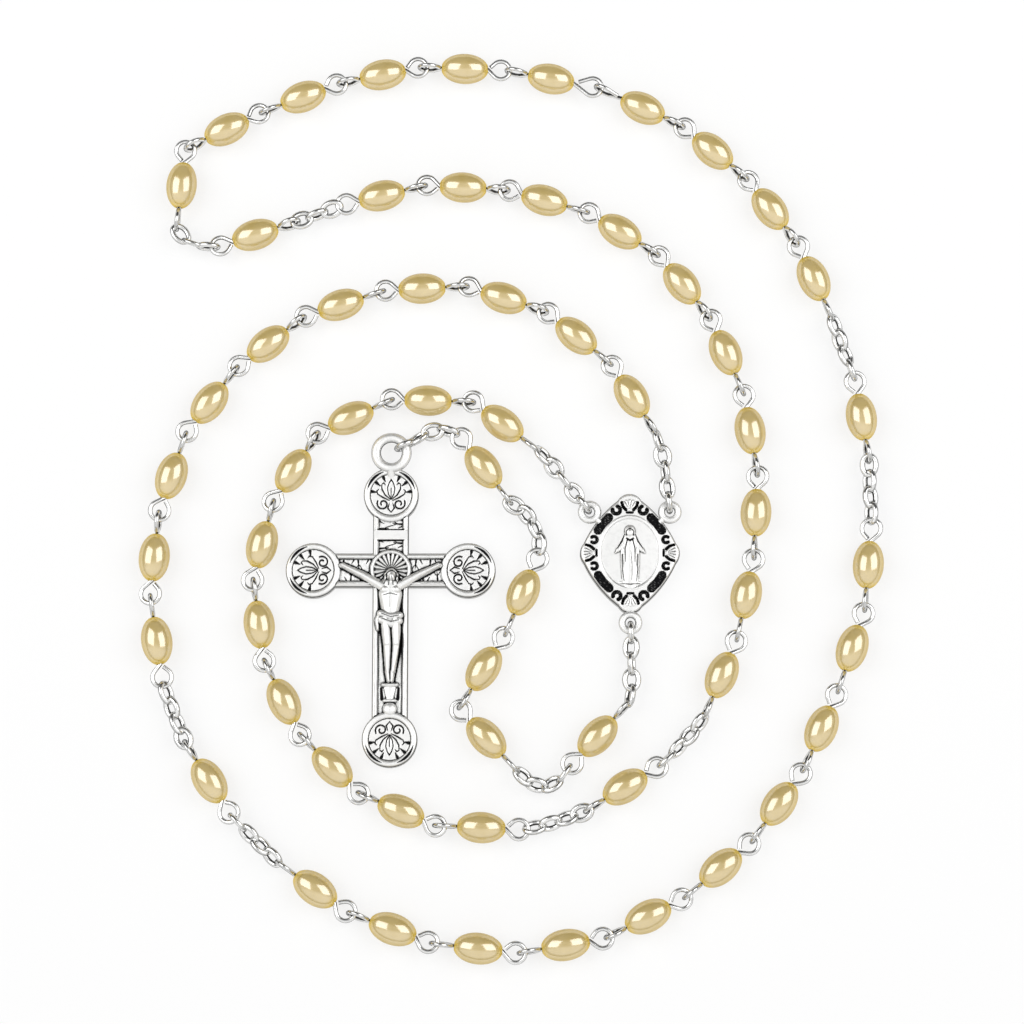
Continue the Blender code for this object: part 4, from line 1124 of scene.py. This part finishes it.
def noise(tree, scale, detail=3.0):
    """Noise over the object's own coordinates."""
    place = tree.nodes.new("ShaderNodeTexCoord")
    field = tree.nodes.new("ShaderNodeTexNoise")
    set_inputs(field, {"Scale": scale, "Detail": detail})
    tree.links.new(place.outputs["Object"], field.inputs["Vector"])
    return field.outputs["Fac"]


def axes(tree, space):
    """X, Y and Z in one of the texture spaces."""
    place = tree.nodes.new("ShaderNodeTexCoord")
    split = tree.nodes.new("ShaderNodeSeparateXYZ")
    tree.links.new(place.outputs[space], split.inputs["Vector"])
    return split.outputs


def map_range(tree, source, across, into):
    """A value mapped from one range into another, held at both ends."""
    node = tree.nodes.new("ShaderNodeMapRange")
    set_inputs(node, {"From Min": across[0], "From Max": across[1], "To Min": into[0], "To Max": into[1]})
    tree.links.new(source, node.inputs["Value"])
    return node.outputs["Result"]


def calculate(tree, operation, first, second):
    """Sum or product of two values, a sum being held between 0 and 1."""
    node = tree.nodes.new("ShaderNodeMath")
    node.operation = operation
    node.use_clamp = operation == "ADD"
    tree.links.new(first, node.inputs[0])
    tree.links.new(second, node.inputs[1])
    return node.outputs["Value"]


def ramp(tree, source, stops):
    """Colour ramp over a value."""
    band = tree.nodes.new("ShaderNodeValToRGB")
    tree.links.new(source, band.inputs["Fac"])
    while len(band.color_ramp.elements) < len(stops):
        band.color_ramp.elements.new(0.5)
    for element, (place, colour) in zip(band.color_ramp.elements, stops):
        element.position = place
        element.color = colour
    return band.outputs["Color"]


def add_bump(tree, shader, height, settings):
    """Fine texture of the surface from a value."""
    bump = tree.nodes.new("ShaderNodeBump")
    set_inputs(bump, settings)
    tree.links.new(height, bump.inputs["Height"])
    tree.links.new(bump.outputs["Normal"], shader.inputs["Normal"])


def mix_for_rays(tree, kinds, share, plain, seen, output):
    """Show one shader to rays of the given kinds, by a share, and another to the rest."""
    path = tree.nodes.new("ShaderNodeLightPath")
    total = path.outputs[kinds[0]]
    for kind in kinds[1:]:
        total = calculate(tree, "ADD", total, path.outputs[kind])
    mix = tree.nodes.new("ShaderNodeMixShader")
    tree.links.new(map_range(tree, total, UNIT_RANGE, (0.0, share)), mix.inputs["Fac"])
    tree.links.new(plain, mix.inputs[1])
    tree.links.new(seen, mix.inputs[2])
    tree.links.new(mix.outputs["Shader"], tree.nodes[output].inputs["Surface"])


def pearl_material():
    """Champagne pearl lacquer: soft warm lustre under a clear coat, with a gold sheen painted on towards the
    holes.
    """
    material, tree, shader = new_material("pearl", PEARL_SHADER)
    tone = ramp(tree, noise(tree, PEARL_MOTTLE), PEARL_TONES)
    along = axes(tree, "Object")["X"]
    middle = BEAD_PITCH_LENGTH / 2
    start, full = (BEAD_LENGTH * share for share in END_SHEEN_SPAN)
    first = map_range(tree, along, (middle - start, middle - full), UNIT_RANGE)
    last = map_range(tree, along, (middle + start, middle + full), UNIT_RANGE)
    # Painted sheen: the ends of the bead turn gold
    end_sheen = tree.nodes.new("ShaderNodeMix")
    end_sheen.data_type = "RGBA"
    tree.links.new(calculate(tree, "ADD", first, last), end_sheen.inputs["Factor"])
    tree.links.new(tone, end_sheen.inputs["A"])
    end_sheen.inputs["B"].default_value = PAINTED_END_SHEEN
    tree.links.new(end_sheen.outputs["Result"], shader.inputs["Base Color"])
    layer = tree.nodes.new("ShaderNodeLayerWeight")
    tree.links.new(map_range(tree, layer.outputs["Facing"], *PEARL_COAT), shader.inputs["Coat Weight"])
    add_bump(tree, shader, noise(tree, PEARL_GRAIN, 2.0), PEARL_BUMP)
    return material


def silver_material(name, scale, patch, tones):
    """Silver darkened by its patina and painted shade and in worn patches; also its tree, shader, wear and
    darkening.
    """
    material, tree, shader = new_material(name, SILVER_SHADER)
    wear = noise(tree, scale)
    # The attribute read here holds real patina in the castings' hollows and painted shade on the wires'
    # flanks and on the castings' edges and walls
    patina_and_shade = tree.nodes.new("ShaderNodeAttribute")
    patina_and_shade.attribute_name = "patina_and_shade"
    total = calculate(tree, "ADD", patina_and_shade.outputs["Fac"], map_range(tree, wear, *patch))
    tree.links.new(ramp(tree, total, tones), shader.inputs["Base Color"])
    return material, tree, shader, wear, total


def wire_material():
    """Bright silver-plated wire with a little drawing wear, and painted shade on the flanks of its loops,
    most inside them.
    """
    material, tree, shader, wear, _ = silver_material("silver_wire", WIRE_WEAR, WIRE_PATCH, WIRE_TONES)
    tree.links.new(map_range(tree, wear, UNIT_RANGE, WIRE_ROUGH), shader.inputs["Roughness"])
    return material


def casting_material():
    """Antiqued silver: polished heights, blackened hollows, and painted shade along its edges and walls."""
    material, tree, shader, wear, total = silver_material("antique_silver", CAST_WEAR, CAST_PATCH, CAST_TONES)
    tree.links.new(map_range(tree, total, UNIT_RANGE, CAST_ROUGH), shader.inputs["Roughness"])
    add_bump(tree, shader, wear, CAST_BUMP)
    return material


def dress(thing, body, material):
    """Give a piece its material and let it move with its body."""
    if not thing.data.materials:
        thing.data.materials.append(material)
    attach(thing, body)


def add_strand(units, pearl, wire):
    """Beads, pins, links and rings of every unit."""
    pearl_form = pearl_mesh()
    plain_pin = pin_mesh("pin")
    meeting = PIN_WIRE + LOOSE
    special = {LAST_LEFT: pin_mesh("pin_meeting_left", meeting),
               LAST_RIGHT: pin_mesh("pin_meeting_right", meeting, True)}
    rings = {"link": ring_mesh("link"), "jump": ring_mesh("jump")}
    for index, piece in enumerate(units):
        name = piece["name"]
        lean = TWIST_LOW + (TWIST_HIGH - TWIST_LOW) * (index * GOLDEN % 1.0)
        if name in special:
            lean = 0.0
        final = len(piece["forms"]) - 1
        for spot, (kind, place) in enumerate(piece["forms"]):
            twist = LINK_TWIST if kind == "link" and 0 < spot < final else 0.0
            if kind != "jump":
                place = place @ Matrix.Rotation(math.radians(lean + twist), 4, "X")
            if kind == "bead":
                bead = new_object(f"{name}_pearl_{spot}", pearl_form, place)
                dress(bead, name, pearl)
                pin = special.get(name, plain_pin) if spot == final else plain_pin
                wired = new_object(f"{name}_pin_{spot}", pin, place)
                dress(wired, name, wire)
                if spot == piece["lead"]:
                    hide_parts(name)
            else:
                ring = new_object(f"{name}_{kind}_{spot}", rings[kind], place)
                dress(ring, name, wire)


def add_castings(ring, silver):
    """Medal with its ears and crucifix with its ring."""
    def cast(name, mesh, body, place=None):
        thing = new_object(name, mesh, place)
        dress(thing, body, silver)
        return thing
    medal = cast("medal_casting", medal_relief(), "medal")
    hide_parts("medal")
    ear = torus_mesh("ear", EAR_RADIUS, EAR_WIRE * RING_PLUMP)
    for side in EAR_ANGLES:
        centre = ear_centre(side)
        cast(f"medal_ear_{side}", ear, "medal", Matrix.Translation((*centre, CASTING_HEIGHT)))
        inward = -centre.normalized()
        start = centre + inward * EAR_RADIUS
        end = centre + inward * (EAR_RADIUS + EAR_WIRE)
        route = [(*start, CASTING_HEIGHT), (*end, CASTING_HEIGHT * EAR_NECK_END)]
        neck = wire_mesh(f"ear_neck_{side}", route, EAR_WIRE * EAR_NECK_PLUMP)
        cast(f"medal_ear_neck_{side}", neck, "medal")
    on_table = Matrix.Translation((*ring, 0.0))
    crucifix = cast("crucifix_casting", crucifix_relief(), "crucifix", on_table)
    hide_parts("crucifix")
    top_ring = torus_mesh("crucifix_ring", RING_RADIUS, RING_WIRE * TOP_RING_PLUMP)
    cast("crucifix_top_ring", top_ring, "crucifix", Matrix.Translation((*ring, CASTING_HEIGHT)))
    lobe_edge = (TOP_LOBE + LOBE_RADIUS * RING_NECK_REACH) * MM
    route = [(0.0, -RING_RADIUS, CASTING_HEIGHT), (0.0, lobe_edge, CASTING_HEIGHT * RING_NECK_END)]
    neck = wire_mesh("crucifix_neck", route, RING_WIRE * RING_NECK_PLUMP)
    cast("crucifix_ring_neck", neck, "crucifix", on_table)


def add_floor():
    """Plain white table that keeps a faint shadow."""
    mesh = bpy.data.meshes.new("table")
    form = bmesh.new()
    bmesh.ops.create_grid(form, x_segments=1, y_segments=1, size=TABLE_HALF)
    form.to_mesh(mesh)
    form.free()
    table = new_object("table", mesh, Matrix.Translation((0.0, 0.0, -TABLE_DROP)))
    material, tree, shader = new_material("table_white", TABLE_SHADER)
    glow = tree.nodes.new("ShaderNodeEmission")
    kinds = ("Is Camera Ray", "Is Glossy Ray", "Is Transmission Ray")
    mix_for_rays(tree, kinds, TABLE_GLOW, shader.outputs["BSDF"], glow.outputs["Emission"], "Material Output")
    mesh.materials.append(material)


def add_world():
    """Studio: white towards the front, paler overhead, dark towards the back and along the low walls."""
    world = bpy.data.worlds.new("studio")
    world.use_nodes = True
    bpy.context.scene.world = world
    tree = world.node_tree
    studio = tree.nodes["Background"]
    place = axes(tree, "Generated")
    light = map_range(tree, place["Y"], *STUDIO_FRONT)
    light = calculate(tree, "MULTIPLY", light, map_range(tree, place["Y"], *STUDIO_BACK))
    light = calculate(tree, "MULTIPLY", light, map_range(tree, place["Z"], *STUDIO_WALLS))
    tree.links.new(light, studio.inputs["Color"])
    white = tree.nodes.new("ShaderNodeBackground")
    white.inputs["Color"].default_value = WHITE
    kinds = ("Is Camera Ray", "Is Transmission Ray")
    mix_for_rays(tree, kinds, 1.0, studio.outputs["Background"], white.outputs["Background"], "World Output")


def add_lamp(name, place):
    """Square soft lamp aimed at the middle of the rosary."""
    lamp = bpy.data.lights.new(name, "AREA")
    lamp.shape = "SQUARE"
    lamp.size = LAMP_SIZE
    lamp.energy = LAMP_POWER
    thing = new_object(name, lamp)
    thing.location = place
    thing.rotation_euler = (Vector(LAMP_AIM) - Vector(place)).to_track_quat("-Z", "Y").to_euler()


def add_camera():
    """Camera at the photograph's angle."""
    camera = bpy.data.cameras.new("camera")
    camera.lens = CAMERA_LENS
    camera.sensor_width = SENSOR
    camera.clip_start = CAMERA_CLIP
    thing = new_object("camera", camera)
    thing.location = CAMERA_PLACE
    thing.rotation_euler = (math.radians(CAMERA_TILT), 0.0, 0.0)
    bpy.context.scene.camera = thing


def main():
    """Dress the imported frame."""
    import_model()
    bpy.context.scene.view_settings.view_transform = "Standard"
    units, ring = plan()
    add_strand(units, pearl_material(), wire_material())
    add_castings(ring, casting_material())
    add_floor()
    add_world()
    for name, place in LAMPS.items():
        add_lamp(name, place)
    add_camera()


main()
